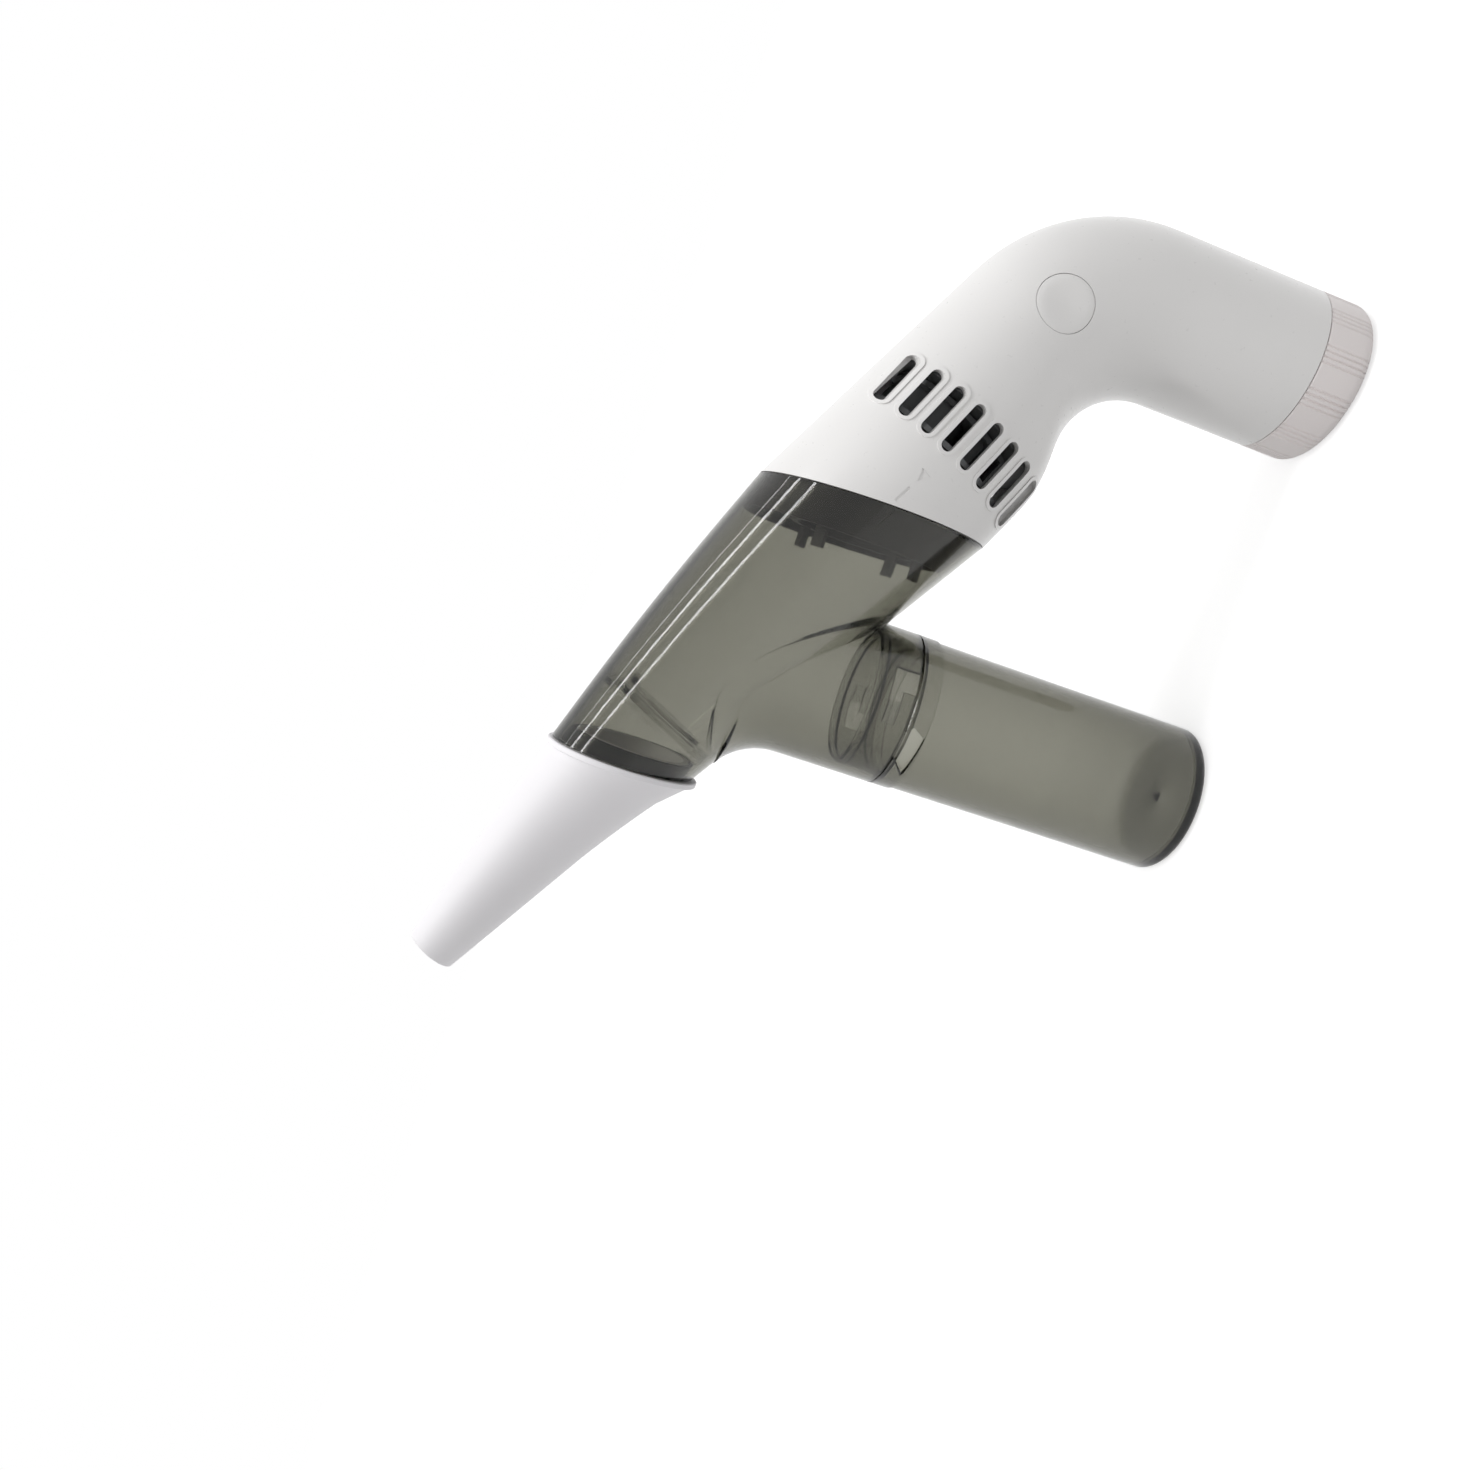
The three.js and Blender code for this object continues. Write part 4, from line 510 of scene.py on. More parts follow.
def dressed(piece, body, slot, *nodes, look=None):
    """Gives a piece the look of its slot or its own, its body and the nodes that it stands for."""
    piece.data.materials.clear()
    piece.data.materials.append(look or SLOT_LOOKS[slot])
    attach(piece, body)
    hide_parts(*nodes)


# Marks beside the seam

MARK_ANGLE, MARK_WIDTH = math.radians(29.7), 0.6
HOUSING_MARK_DEPTH, CHAMBER_MARK_DEPTH = 0.25, 0.3
# Length of each line, and the place of its middle from the seam's centre
HOUSING_MARK = (4.1, 2.9, 0.5)
CHAMBER_MARK = (4.9, -3.0, 2.3)
POINTER_STEP, POINTER_RISE = 7.8, -2.4
POINTER_TIP, POINTER_BACK, POINTER_HALF = 1.5, 1.1, 1.3


def mark_tool(outline, step, rise):
    return prism("mark", outline, REACH_IN, REACH_OUT, across(SEAM_X + step, SEAM_Z + rise, MARK_ANGLE))


def mark_line(length, step, rise):
    return mark_tool(box_outline(length, MARK_WIDTH), step, rise)


def pointer():
    """A plain arrowhead that points along the line towards the joint."""
    outline = [(-POINTER_TIP, 0), (POINTER_BACK, -POINTER_HALF), (POINTER_BACK, POINTER_HALF)]
    return mark_tool(outline, POINTER_STEP, POINTER_RISE)


# Housing

PARTING = 0.06
VENT_COUNT, VENT_LENGTH, VENT_WIDTH, VENT_LEAN = 8, 13.0, 2.8, math.radians(1.3)
VENT_ROW, VENT_ROW_HEIGHT, VENT_ROW_DROP = 21.6, 38.8, 1.3
RIM_WIDTH, RIM_RISE, RIM_ROOT = 0.8, 0.3, 0.6
SCREW_RADIUS, SCREW_HEAD_RADIUS, SCREW_SINK, SCREW_REACH = 1.1, 2.1, 5.0, 9.0
RIDGE_SCREW_REACH, RIDGE_SCREW_Z = 36.9, 95.2
BELLY_SCREW_REACH, BELLY_SCREW_Z = 26.4, 65.3
BEND_SCREW_OFFSET, BEND_SCREW_Z = 7.0, 69.0
GRIP_SCREW_OFFSET, GRIP_SCREW_Z = 13.0, 26.0
SCREWS = [(SEAM_X + RIDGE_SCREW_REACH, RIDGE_SCREW_Z), (SEAM_X + BELLY_SCREW_REACH, BELLY_SCREW_Z),
          (HANDLE_X + BEND_SCREW_OFFSET, BEND_SCREW_Z),
          (HANDLE_X + GRIP_SCREW_OFFSET, GRIP_SCREW_Z), (HANDLE_X - GRIP_SCREW_OFFSET, GRIP_SCREW_Z)]
SHANK_OVERRUN = 0.5
BOSS_RADIUS, BOSS_GAP, BOSS_SINK = 3.2, 0.1, 0.8
NECK_WALL, NECK_FOOT, NECK_LEDGE, NECK_ROOT = 0.8, 4.6, 3.2, 0.5
BUTTON_OFFSET, BUTTON_Z, BUTTON_RADIUS = 10.5, 72.8, 6.5
BUTTON_X = HANDLE_X - BUTTON_OFFSET
BUTTON_PLAY, BUTTON_DROP, BUTTON_HEIGHT = 0.08, 0.08, 3.6
BUTTON_DISH, BUTTON_DISH_RADIUS = 0.55, 5.4
DISH_RADII = (0.4, 1.2, 2.0, 2.8, 3.6, 4.4, 5.0, BUTTON_DISH_RADIUS)
# The button's rounded edge: how far in from its radius, and how far down from its face
BUTTON_EDGE = ((0.4, 0.0), (0.1, 0.02), (0.02, 0.08), (0.0, 0.22))


def form(name, inset):
    """The housing's whole outer form, drawn in by an inset."""
    return lofted(name, [oval(*section, inset) for section in SECTIONS])


def housing_half(sign, name):
    """One half shell with its wall, open at both ends, and its share of the gap at the parting line."""
    count = RING // 2 + 1
    start = 0.0 if sign < 0 else math.pi
    shift = Vector((0, sign * PARTING * MM, 0))
    def rows(inset):
        made = []
        for section in SECTIONS:
            ring = oval(*section, inset, count, start, math.pi)
            ring[0], ring[-1] = ring[0] + shift, ring[-1] + shift
            made.append(ring)
        return made
    loops = [outer + inner[::-1] for outer, inner in zip(rows(0.0), rows(WALL))]
    return lofted(name, loops)


def half_neck(sign, count=65):
    """Half of the neck that the cap goes on, with the ledge that joins it to the handle's wall."""
    outer, root = HANDLE_RADIUS - NECK_STEP, HANDLE_RADIUS - WALL + NECK_ROOT
    inner, ledge, top = outer - NECK_WALL, CAP_HEIGHT + GAP, CAP_HEIGHT + NECK_LEDGE
    profile = [(inner, NECK_FOOT), (outer, NECK_FOOT), (outer, ledge), (root, ledge), (root, top),
               (inner, top)]
    rings = []
    for step in range(count):
        ring = []
        for radius, height in profile:
            x, y = polar(radius, sign * math.pi * step / (count - 1))
            ring.append(at(HANDLE_X + x, y + sign * PARTING, height))
        rings.append(ring)
    return lofted("neck", rings)


def vent_places():
    places = []
    for place in range(VENT_COUNT):
        rise = (0.5 - place / (VENT_COUNT - 1)) * VENT_ROW_HEIGHT - VENT_ROW_DROP
        x = SEAM_X + VENT_ROW * math.cos(TILT) + rise * math.sin(TILT)
        z = SEAM_Z - VENT_ROW * math.sin(TILT) + rise * math.cos(TILT)
        places.append(across(x, z, TILT + VENT_LEAN))
    return places


def add_rims(half, vents, low, high):
    """A low raised rim round each slot."""
    rims = alike("rims", stadium(VENT_LENGTH + 2 * RIM_WIDTH, VENT_WIDTH + 2 * RIM_WIDTH), low, high, vents)
    cut(rims, form("core", RIM_ROOT))
    cut(rims, form("limit", -RIM_RISE), "INTERSECT")
    cut(half, rims, "UNION")


def add_bosses(half, sign, screws):
    low, high = sorted((-sign * BOSS_GAP, -sign * REACH_OUT))
    bosses = alike("bosses", disc_outline(BOSS_RADIUS), low, high, screws)
    cut(bosses, form("limit", BOSS_SINK), "INTERSECT")
    cut(half, bosses, "UNION")


def housing():
    vents = vent_places()
    screws = [across(x, z) for x, z in SCREWS]
    shank, head = disc_outline(SCREW_RADIUS + GAP), disc_outline(SCREW_HEAD_RADIUS + GAP)
    for sign, name, node in ((-1, "housing_near", "housing_near_shell"),
                             (1, "housing_far", "housing_far_shell")):
        half = housing_half(sign, name)
        low, high = sorted((-sign * REACH_IN, -sign * REACH_OUT))
        add_rims(half, vents, low, high)
        add_bosses(half, sign, screws)
        cut(half, alike("slots", stadium(VENT_LENGTH, VENT_WIDTH), low, high, vents))
        reach = (-SCREW_SINK, SHANK_OVERRUN) if sign > 0 else (-SHANK_OVERRUN, SCREW_REACH + GAP)
        cut(half, alike("shanks", shank, *reach, screws))
        cut(half, half_neck(sign), "UNION")
        if sign > 0:
            cut(half, alike("sinks", head, -REACH_OUT, GAP - SCREW_SINK, screws))
        else:
            hole = disc_outline(BUTTON_RADIUS + BUTTON_PLAY, 96)
            cut(half, prism("hole", hole, REACH_IN, REACH_OUT, across(BUTTON_X, BUTTON_Z)))
            marks = gathered("marks", [mark_line(*HOUSING_MARK), pointer()])
            cut(marks, form("core", HOUSING_MARK_DEPTH))
            cut(half, marks)
        dressed(half, "handle_unit", "housing_white", node)


def button():
    """A dished disc that follows the housing's surface, just below it."""
    def ring(radius, drop, count=72):
        points = []
        for x, z in disc_outline(radius, count):
            x, z = BUTTON_X + x, BUTTON_Z + z
            points.append(at(x, drop - wall_at(x, z), z))
        return points
    rings = []
    for radius in DISH_RADII:
        dish = BUTTON_DISH * (1 - (radius / BUTTON_DISH_RADIUS) ** 2) ** 1.5
        rings.append(ring(radius, BUTTON_DROP + dish))
    rings += [ring(BUTTON_RADIUS - away, BUTTON_DROP + down) for away, down in BUTTON_EDGE]
    rings.append(ring(BUTTON_RADIUS, BUTTON_HEIGHT))
    dressed(lofted("dished_button", rings), "button_unit", "housing_white", "switch_button")


# Chamber and spout


def chamber_solid(name, inset, start, finish, steps=24):
    rings = [chamber_ring(mix(start, finish, step / steps), inset) for step in range(steps + 1)]
    return lofted(name, rings)


def spout_solid(name, inset, foot):
    """The upright spout with its fillet up to the chamber's underside, and on into the chamber."""
    mouth = Vector((MOUTH_X, MOUTH_Z - MOUTH_RADIUS))
    under = BELLY_TOP - mouth
    corner = mouth + under * ((-SPOUT_RADIUS - MOUTH_X) / under.x)
    side = rounded([(-SPOUT_RADIUS, foot), corner, mouth], [SPOUT_FILLET])[:-1]
    side.append(side[-1] + Vector((SPOUT_RISE, SPOUT_RISE)))
    radius = SPOUT_RADIUS - inset
    rings = [oval(Vector((spot.x + inset, spot.y)), Vector((radius, spot.y)), radius) for spot in side]
    return lofted(name, rings)


def cut_pockets(piece):
    """The spout's bayonet pockets, each with its way in from the foot."""
    play = math.degrees(GAP / TUBE_LUG_OUTER)
    inner, outer = TUBE_NECK_RADIUS - OVERRUN, TUBE_LUG_OUTER + GAP
    foot = SPOUT_FOOT + TUBE_LUG_FOOT
    top = foot + TUBE_LUG_HEIGHT
    for lug in range(TUBE_LUGS):
        rest = TUBE_LUG_START + 360 * lug / TUBE_LUGS
        start, finish = rest - TUBE_LUG_ANGLE / 2 - play, rest + TUBE_LUG_ANGLE / 2 + TUBE_TRAVEL + play
        pocket = sector_outline(inner, outer, start, finish)
        cut(piece, prism("pocket", pocket, foot - GAP, top + GAP, UPRIGHT))
        way = sector_outline(inner, outer, start + TUBE_TRAVEL, finish)
        cut(piece, prism("way", way, SPOUT_FOOT - OVERRUN, top, UPRIGHT))


def chamber():
    end = SEAM_X - GAP
    piece = chamber_solid("smoke_chamber", 0.0, MOUTH_X, end)
    cut(piece, spout_solid("spout", 0.0, SPOUT_FOOT), "UNION")
    cut(piece, chamber_solid("hollow", CHAMBER_WALL, MOUTH_X - OVERRUN, end + OVERRUN))
    cut(piece, spout_solid("bore", CHAMBER_WALL, SPOUT_FOOT - OVERRUN))
    cut_pockets(piece)
    mark = mark_line(*CHAMBER_MARK)
    cut(mark, chamber_solid("core", CHAMBER_MARK_DEPTH, MOUTH_X, end))
    cut(piece, mark)
    dressed(piece, "chamber_unit", "smoke_clear", "chamber")


# Collar, coupling ring and filter frame at the seam

COLLAR_LENGTH, COLLAR_WALL, COLLAR_LIP, COLLAR_STEPS = 8.6, 0.8, 2.5, 6
NOTCH_ANGLE, NOTCH_OVERRUN = 17.7, 0.5
FLANGE_THICK, SPIGOT_EDGE = 2.4, 0.2
# The seal's groove: its two sides from the seam, and how deep it is
GROOVE_START, GROOVE_END, GROOVE_DEPTH = 0.7, 2.4, 1.2
SEAL_SINK, SEAL_SECTION = 0.5, 0.55
FRAME_RADIUS, FRAME_WALL = SPIGOT_BORE - GAP, 1.7
FRAME_BACK, FRAME_FRONT, FRAME_LEDGE_BACK = 2.1, -7.5, -3.0
FRAME_LEDGE, FRAME_LEDGE_THICK = 1.2, 1.0
TAB_COUNT, TAB_START, TAB_ANGLE, TAB_REACH = 4, 45, 10, 5.0
TAB_INNER_STEP, TAB_OUTER_STEP = 0.1, 0.3


def collar():
    """The dark collar in the chamber's wide end, with a notched lip."""
    end, skin = SEAM_X - GAP, CHAMBER_WALL + GAP
    lip, bore = end - COLLAR_LIP, SPIGOT_RADIUS + GAP
    places = [mix(SEAM_X - COLLAR_LENGTH, end, step / COLLAR_STEPS) for step in range(COLLAR_STEPS + 1)]
    outer = [chamber_ring(x, skin) for x in places]
    inner = [chamber_ring(x, skin + COLLAR_WALL) for x in places if x < lip]
    inner.append(chamber_ring(lip, skin + COLLAR_WALL))
    rings = outer + [ring_at(end, bore), ring_at(lip, bore)] + inner[::-1]
    piece = lofted("dark_collar", rings, closed=True)
    notches = ring_of_lugs("notches", SPIGOT_BORE, SPIGOT_RADIUS + RING_LUG_RISE + GAP,
                           (RING_LUGS, -CHAMBER_TRAVEL, NOTCH_ANGLE),
                           -COLLAR_LIP - GAP - NOTCH_OVERRUN, OVERRUN, TO_SEAM)
    cut(piece, notches)
    dressed(piece, "chamber_unit", "black_plastic", "chamber_collar")


def coupling_ring():
    """The ring that stands in the housing's end and carries the chamber's lugs."""
    back, face, skin = SEAM_X + GAP + FLANGE_THICK, SEAM_X + GAP, WALL + GAP
    flange = []
    for x in (back, face):
        upper = RIDGE_TOP.y - (x - SEAM_X) * math.tan(RIDGE_SLOPE) - skin
        lower = BELLY_TOP.y - (x - SEAM_X) * math.tan(BELLY_SLOPE) + skin
        flange.append(section_ring(x, upper, lower, SEAM_RADIUS - skin))
    groove = SPIGOT_RADIUS - GROOVE_DEPTH
    spigot = [(GROOVE_START, SPIGOT_RADIUS), (GROOVE_START, groove), (GROOVE_END, groove),
              (GROOVE_END, SPIGOT_RADIUS), (SPIGOT_LENGTH - SPIGOT_EDGE, SPIGOT_RADIUS),
              (SPIGOT_LENGTH, SPIGOT_RADIUS - SPIGOT_EDGE), (SPIGOT_LENGTH, SPIGOT_BORE)]
    rings = [ring_at(back, SPIGOT_BORE)] + flange + [ring_at(face, SPIGOT_RADIUS)]
    rings += [ring_at(SEAM_X - reach, radius) for reach, radius in spigot]
    piece = lofted("dark_ring", rings, closed=True)
    lug_top = -COLLAR_LIP - 2 * GAP
    lugs = ring_of_lugs("lugs", SPIGOT_RADIUS - SPIGOT_WALL / 2, SPIGOT_RADIUS + RING_LUG_RISE,
                        (RING_LUGS, 0, RING_LUG_ANGLE), lug_top - RING_LUG_HEIGHT, lug_top, TO_SEAM)
    cut(piece, lugs, "UNION")
    dressed(piece, "handle_unit", "black_plastic", "coupling_ring")
    profile = seal_profile(SPIGOT_RADIUS - SEAL_SINK, -(GROOVE_START + GROOVE_END) / 2, SEAL_SECTION)
    seal = turned("ring_seal", profile, (SEAM_X, 0, SEAM_Z), (1, 0, 0))
    dressed(seal, "handle_unit", "rubber", "coupling_seal")


def filter_frame():
    outer, inner = FRAME_RADIUS, FRAME_RADIUS - FRAME_WALL
    edge, ledge_front = inner - FRAME_LEDGE, FRAME_LEDGE_BACK - FRAME_LEDGE_THICK
    profile = [(outer, FRAME_FRONT), (outer, FRAME_BACK), (inner, FRAME_BACK), (inner, FRAME_LEDGE_BACK),
               (edge, FRAME_LEDGE_BACK), (edge, ledge_front), (inner, ledge_front), (inner, FRAME_FRONT)]
    piece = turned("dark_filter_frame", profile, (SEAM_X, 0, SEAM_Z), (1, 0, 0))
    tabs = ring_of_lugs("tabs", inner + TAB_INNER_STEP, outer - TAB_OUTER_STEP,
                        (TAB_COUNT, TAB_START, TAB_ANGLE), FRAME_FRONT - TAB_REACH,
                        FRAME_FRONT + OVERRUN, TO_SEAM)
    cut(piece, tabs, "UNION")
    dressed(piece, "handle_unit", "black_plastic", "filter_frame")


# Seat and flap at the chamber's narrow end

SEAT_STEP, SEAT_LEDGE, SEAT_WALL, SEAT_PLATE, SEAT_RIM = 1.25, 8.0, 1.6, 1.4, 1.4
SEAT_X = MOUTH_X + NOZZLE_SPIGOT + MOUTH_RADIUS * math.sin(TILT) + SEAT_STEP
SEAT_Z = mix(MOUTH_Z, SEAM_Z, (SEAT_X - MOUTH_X) / (SEAM_X - MOUTH_X))
SEAT_BORE = MOUTH_RADIUS - SEAT_LEDGE
FLAP_MARGIN, FLAP_THICK, FLAP_LIFT = 1.3, 1.0, 1.9
BARREL_RADIUS, BARREL_HALF, BARREL_BORE = 1.7, 5.0, 1.0
ARM_WIDTH, ARM_INSET = 5.0, 0.02
EAR_WIDTH, EAR_THICK = 3.0, 1.6
PIN_DOWN, PIN_OUT = -(SEAT_BORE + FLAP_LIFT), GAP + BARREL_RADIUS
TO_SEAT = Matrix.Translation((SEAT_X, 0, SEAT_Z)) @ Matrix.Rotation(math.pi / 2 + TILT, 4, "Y")


def slice_ring(inset, reach, halvings=40):
    """Where the chamber's form, drawn in by an inset, meets a plane square to the flow."""
    points = []
    for step in range(RING):
        angle = math.tau * step / RING
        low, high = MOUTH_X - MOUTH_RADIUS, SEAM_X
        for _ in range(halvings):
            x = (low + high) / 2
            top, bottom, radius = chamber_form(x, inset)
            z = mix(bottom, top, (1 + math.cos(angle)) / 2)
            if (x - SEAT_X) * math.cos(TILT) - (z - SEAT_Z) * math.sin(TILT) < reach:
                low = x
            else:
                high = x
        points.append(at(x, -radius * math.sin(angle), z))
    return points


def bore_ring(radius, reach):
    """A round ring in a plane square to the flow."""
    middle = Vector((SEAT_X, SEAT_Z)) + Vector(polar(reach, -TILT))
    up = Vector((math.sin(TILT), math.cos(TILT))) * radius
    return oval(middle + up, middle - up, radius)


def seat():
    skin, bore_wall = CHAMBER_WALL + GAP, CHAMBER_WALL + GAP + SEAT_WALL
    front = -SEAT_PLATE - SEAT_RIM
    rings = [slice_ring(skin, front), slice_ring(skin, 0), bore_ring(SEAT_BORE, 0),
             bore_ring(SEAT_BORE, -SEAT_PLATE), slice_ring(bore_wall, -SEAT_PLATE),
             slice_ring(bore_wall, front)]
    piece = lofted("dark_seat", rings, closed=True)
    out = BARREL_HALF + GAP + EAR_THICK / 2
    ears = []
    for side in (-1, 1):
        line = [(PIN_DOWN + x, side * out + y) for x, y in box_outline(EAR_WIDTH, EAR_THICK)]
        ears.append(prism("ear", line, -SEAT_PLATE / 2, PIN_OUT + BARREL_RADIUS, TO_SEAT))
    cut(piece, gathered("ears", ears), "UNION")
    dressed(piece, "chamber_unit", "black_plastic", "inlet_seat", look=SEAT_LOOK)


def flap():
    top = GAP + FLAP_THICK
    piece = prism("dark_flap", disc_outline(SEAT_BORE + FLAP_MARGIN, 96), GAP, top, TO_SEAT)
    arm = [(PIN_DOWN / 2 + x, y) for x, y in box_outline(-PIN_DOWN, ARM_WIDTH)]
    cut(piece, prism("arm", arm, GAP + ARM_INSET, top - ARM_INSET, TO_SEAT), "UNION")
    hinge = TO_SEAT @ Matrix.Translation((PIN_DOWN, 0, PIN_OUT)) @ Matrix.Rotation(math.pi / 2, 4, "X")
    cut(piece, prism("barrel", disc_outline(BARREL_RADIUS, 40), -BARREL_HALF, BARREL_HALF, hinge), "UNION")
    bore = BARREL_HALF + OVERRUN
    cut(piece, prism("bore", disc_outline(BARREL_BORE, 32), -bore, bore, hinge))
    dressed(piece, "flap_unit", "black_plastic", "inlet_flap", look=FLAP_LOOK)


# Collecting tube

TUBE_RADIUS, TUBE_WALL, TUBE_FLOOR = 18.05, 1.75, 1.8
TUBE_EDGE, TUBE_INNER_EDGE = 2.2, 2.3
TUBE_COLLAR, COLLAR_EDGE = 5.1, 0.2
# The collar's foot: how far in from the spout's radius, and how far up
COLLAR_FOOT = ((0.35, 0.0), (0.35, 0.2), (0.1, 0.25), (0.0, 0.35))
TUBE_SHOULDER = 1.6
TUBE_NECK_HEIGHT, TUBE_NECK_WALL, NECK_EDGE, NECK_INNER_EDGE = 9.5, 1.1, 0.4, 0.3
TUBE_LUG_ROOT = 0.7
TUBE_SEAL_SECTION, TUBE_SEAL_DROP = 0.35, 1.9
# The moulding's gate in the floor: radius and depth
GATE = ((1.4, 0.0), (1.2, 0.1), (0.9, 0.3), (0.0, 0.4))
# The thin window in the collar: place along X and distance below the collar's top
WINDOW = ((-9.7, 0.1), (-13.3, 4.1), (-3.7, 4.8), (-1.7, 1.6), (-3.4, 0.1))
WINDOW_RADIUS = 17.3


def tube_profile(top, neck_top):
    bore, neck_inner = TUBE_RADIUS - TUBE_WALL, TUBE_NECK_RADIUS - TUBE_NECK_WALL
    collar_foot, shoulder = top - TUBE_COLLAR, top - TUBE_SHOULDER
    profile = [(0, 0)]
    for angle in quarter(10):
        profile.append((TUBE_RADIUS - TUBE_EDGE * (1 - math.sin(angle)), TUBE_EDGE * (1 - math.cos(angle))))
    profile += [(SPOUT_RADIUS - away, collar_foot + up) for away, up in COLLAR_FOOT]
    profile += [
        (SPOUT_RADIUS, top - COLLAR_EDGE), (SPOUT_RADIUS - COLLAR_EDGE, top), (TUBE_NECK_RADIUS, top),
        (TUBE_NECK_RADIUS, neck_top - NECK_EDGE), (TUBE_NECK_RADIUS - NECK_EDGE, neck_top),
        (neck_inner + NECK_INNER_EDGE, neck_top), (neck_inner, neck_top - NECK_INNER_EDGE),
        (neck_inner, shoulder + NECK_EDGE), (neck_inner + NECK_EDGE, shoulder), (bore, shoulder),
    ]
    for angle in quarter(8):
        profile.append((bore - TUBE_INNER_EDGE * (1 - math.cos(angle)),
                        TUBE_FLOOR + TUBE_INNER_EDGE * (1 - math.sin(angle))))
    return profile + [(radius, TUBE_FLOOR - depth) for radius, depth in GATE]


def tube():
    top, neck_top = SPOUT_FOOT - GAP, SPOUT_FOOT + TUBE_NECK_HEIGHT
    piece = turned("smoke_tube", tube_profile(top, neck_top))
    foot = SPOUT_FOOT + TUBE_LUG_FOOT
    lugs = ring_of_lugs("lugs", TUBE_NECK_RADIUS - TUBE_LUG_ROOT, TUBE_LUG_OUTER,
                        (TUBE_LUGS, TUBE_LUG_START, TUBE_LUG_ANGLE), foot, foot + TUBE_LUG_HEIGHT, UPRIGHT)
    cut(piece, lugs, "UNION")
    window = prism("window", [(x, top - drop) for x, drop in WINDOW], REACH_IN, REACH_OUT, across(0, 0))
    cut(window, turned("core", [(0, 0), (WINDOW_RADIUS, 0), (WINDOW_RADIUS, neck_top), (0, neck_top)]))
    cut(piece, window)
    dressed(piece, "tube_unit", "smoke_clear", "collection_tube")
    seal_radius = TUBE_NECK_RADIUS - TUBE_SEAL_SECTION
    seal = turned("neck_seal", seal_profile(seal_radius, neck_top - TUBE_SEAL_DROP, TUBE_SEAL_SECTION))
    dressed(seal, "tube_unit", "rubber", "tube_seal")


# Nozzle

NOZZLE_LENGTH, NOZZLE_TIP_RADIUS, NOZZLE_ROOT_RADIUS, NOZZLE_WALL = 56.2, 6.1, 13.3, 1.6
TAPER_SHARES, FLARE_SHARE = (0.0, 0.25, 0.5), 0.68
TIP_ROUND = 0.45
LIP_THICK, LIP_RISE, LIP_DROP, LIP_EDGE, LIP_EDGE_STEP = 1.4, 0.9, 1.3, 0.25, 0.2
# Where the taper and its bore end on the lip: distance from the lip, and step from the mouth's radius
ROOT_REACH, ROOT_STEP = 0.05, 0.12
BORE_REACH, BORE_STEP = 0.02, -1.7
TAPER_CLEARANCE = 0.1
SLEEVE_RADIUS, SLEEVE_WALL, SLEEVE_EDGE = MOUTH_RADIUS - CHAMBER_WALL - GAP, 0.8, 0.2
PLUG_RADIUS, PLUG_EDGE = SLEEVE_RADIUS - SLEEVE_WALL - GAP, 0.3


def nozzle_sections(inset, steps=14):
    """The taper's ovals from the tip to its flare at the mouth: top, bottom and half width of each."""
    ahead = Vector((-math.cos(TILT), math.sin(TILT)))
    up = Vector((math.sin(TILT), math.cos(TILT)))
    mouth_top = Vector((MOUTH_X - GAP, MOUTH_Z + MOUTH_RADIUS))
    mouth_low = Vector((MOUTH_X - GAP, MOUTH_Z - MOUTH_RADIUS))
    root = mouth_top - up * NOZZLE_ROOT_RADIUS
    tip = root + ahead * NOZZLE_LENGTH
    sections = []
    for share in [*TAPER_SHARES, *(mix(FLARE_SHARE, 1.0, step / steps) for step in range(steps + 1))]:
        radius = mix(NOZZLE_TIP_RADIUS, NOZZLE_ROOT_RADIUS, share)
        centre = tip.lerp(root, share)
        flare = max(0.0, (share - FLARE_SHARE) / (1 - FLARE_SHARE)) ** 2
        upper = (centre + up * (radius - inset)).lerp(mouth_top - Vector((0, inset)), flare)
        lower = (centre - up * (radius - inset)).lerp(mouth_low + Vector((0, inset)), flare)
        sections.append((upper, lower, mix(radius, MOUTH_RADIUS, flare) - inset))
    return sections


def plug_ring(x, radius):
    """A ring of the plug, which slopes as the nozzle does."""
    return ring_at(x, radius, MOUTH_Z - (x - MOUTH_X) * math.tan(TILT))


def lip_ring(x, grow):
    """A ring of the lip round the nozzle's end, which reaches a little lower than it rises."""
    top, bottom = MOUTH_Z + MOUTH_RADIUS + LIP_RISE + grow, MOUTH_Z - MOUTH_RADIUS - LIP_DROP - grow
    return section_ring(x, top, bottom, MOUTH_RADIUS + LIP_RISE + grow)


def taper(foot, steps=8):
    """Rings from the taper's root over its rounded tip and down its bore to the root again."""
    limit = at(foot - TAPER_CLEARANCE, 0, 0).x
    def clear_of_lip(inset):
        rings = [oval(*section) for section in nozzle_sections(inset)]
        return [ring for ring in rings if max(point.x for point in ring) < limit]
    outside, bore = clear_of_lip(0.0), clear_of_lip(NOZZLE_WALL)
    ahead = Vector((-math.cos(TILT), 0, math.sin(TILT))) * TIP_ROUND * MM
    tip = []
    for step in range(1, steps):
        angle = math.pi * step / steps
        ring = oval(*nozzle_sections(0.0)[0], NOZZLE_WALL / 2 * (1 - math.cos(angle)))
        tip.append([point + ahead * (math.sin(angle) - 1) for point in ring])
    outside[0] = [point - ahead for point in outside[0]]
    bore[0] = [point - ahead for point in bore[0]]
    return outside[::-1] + tip + bore


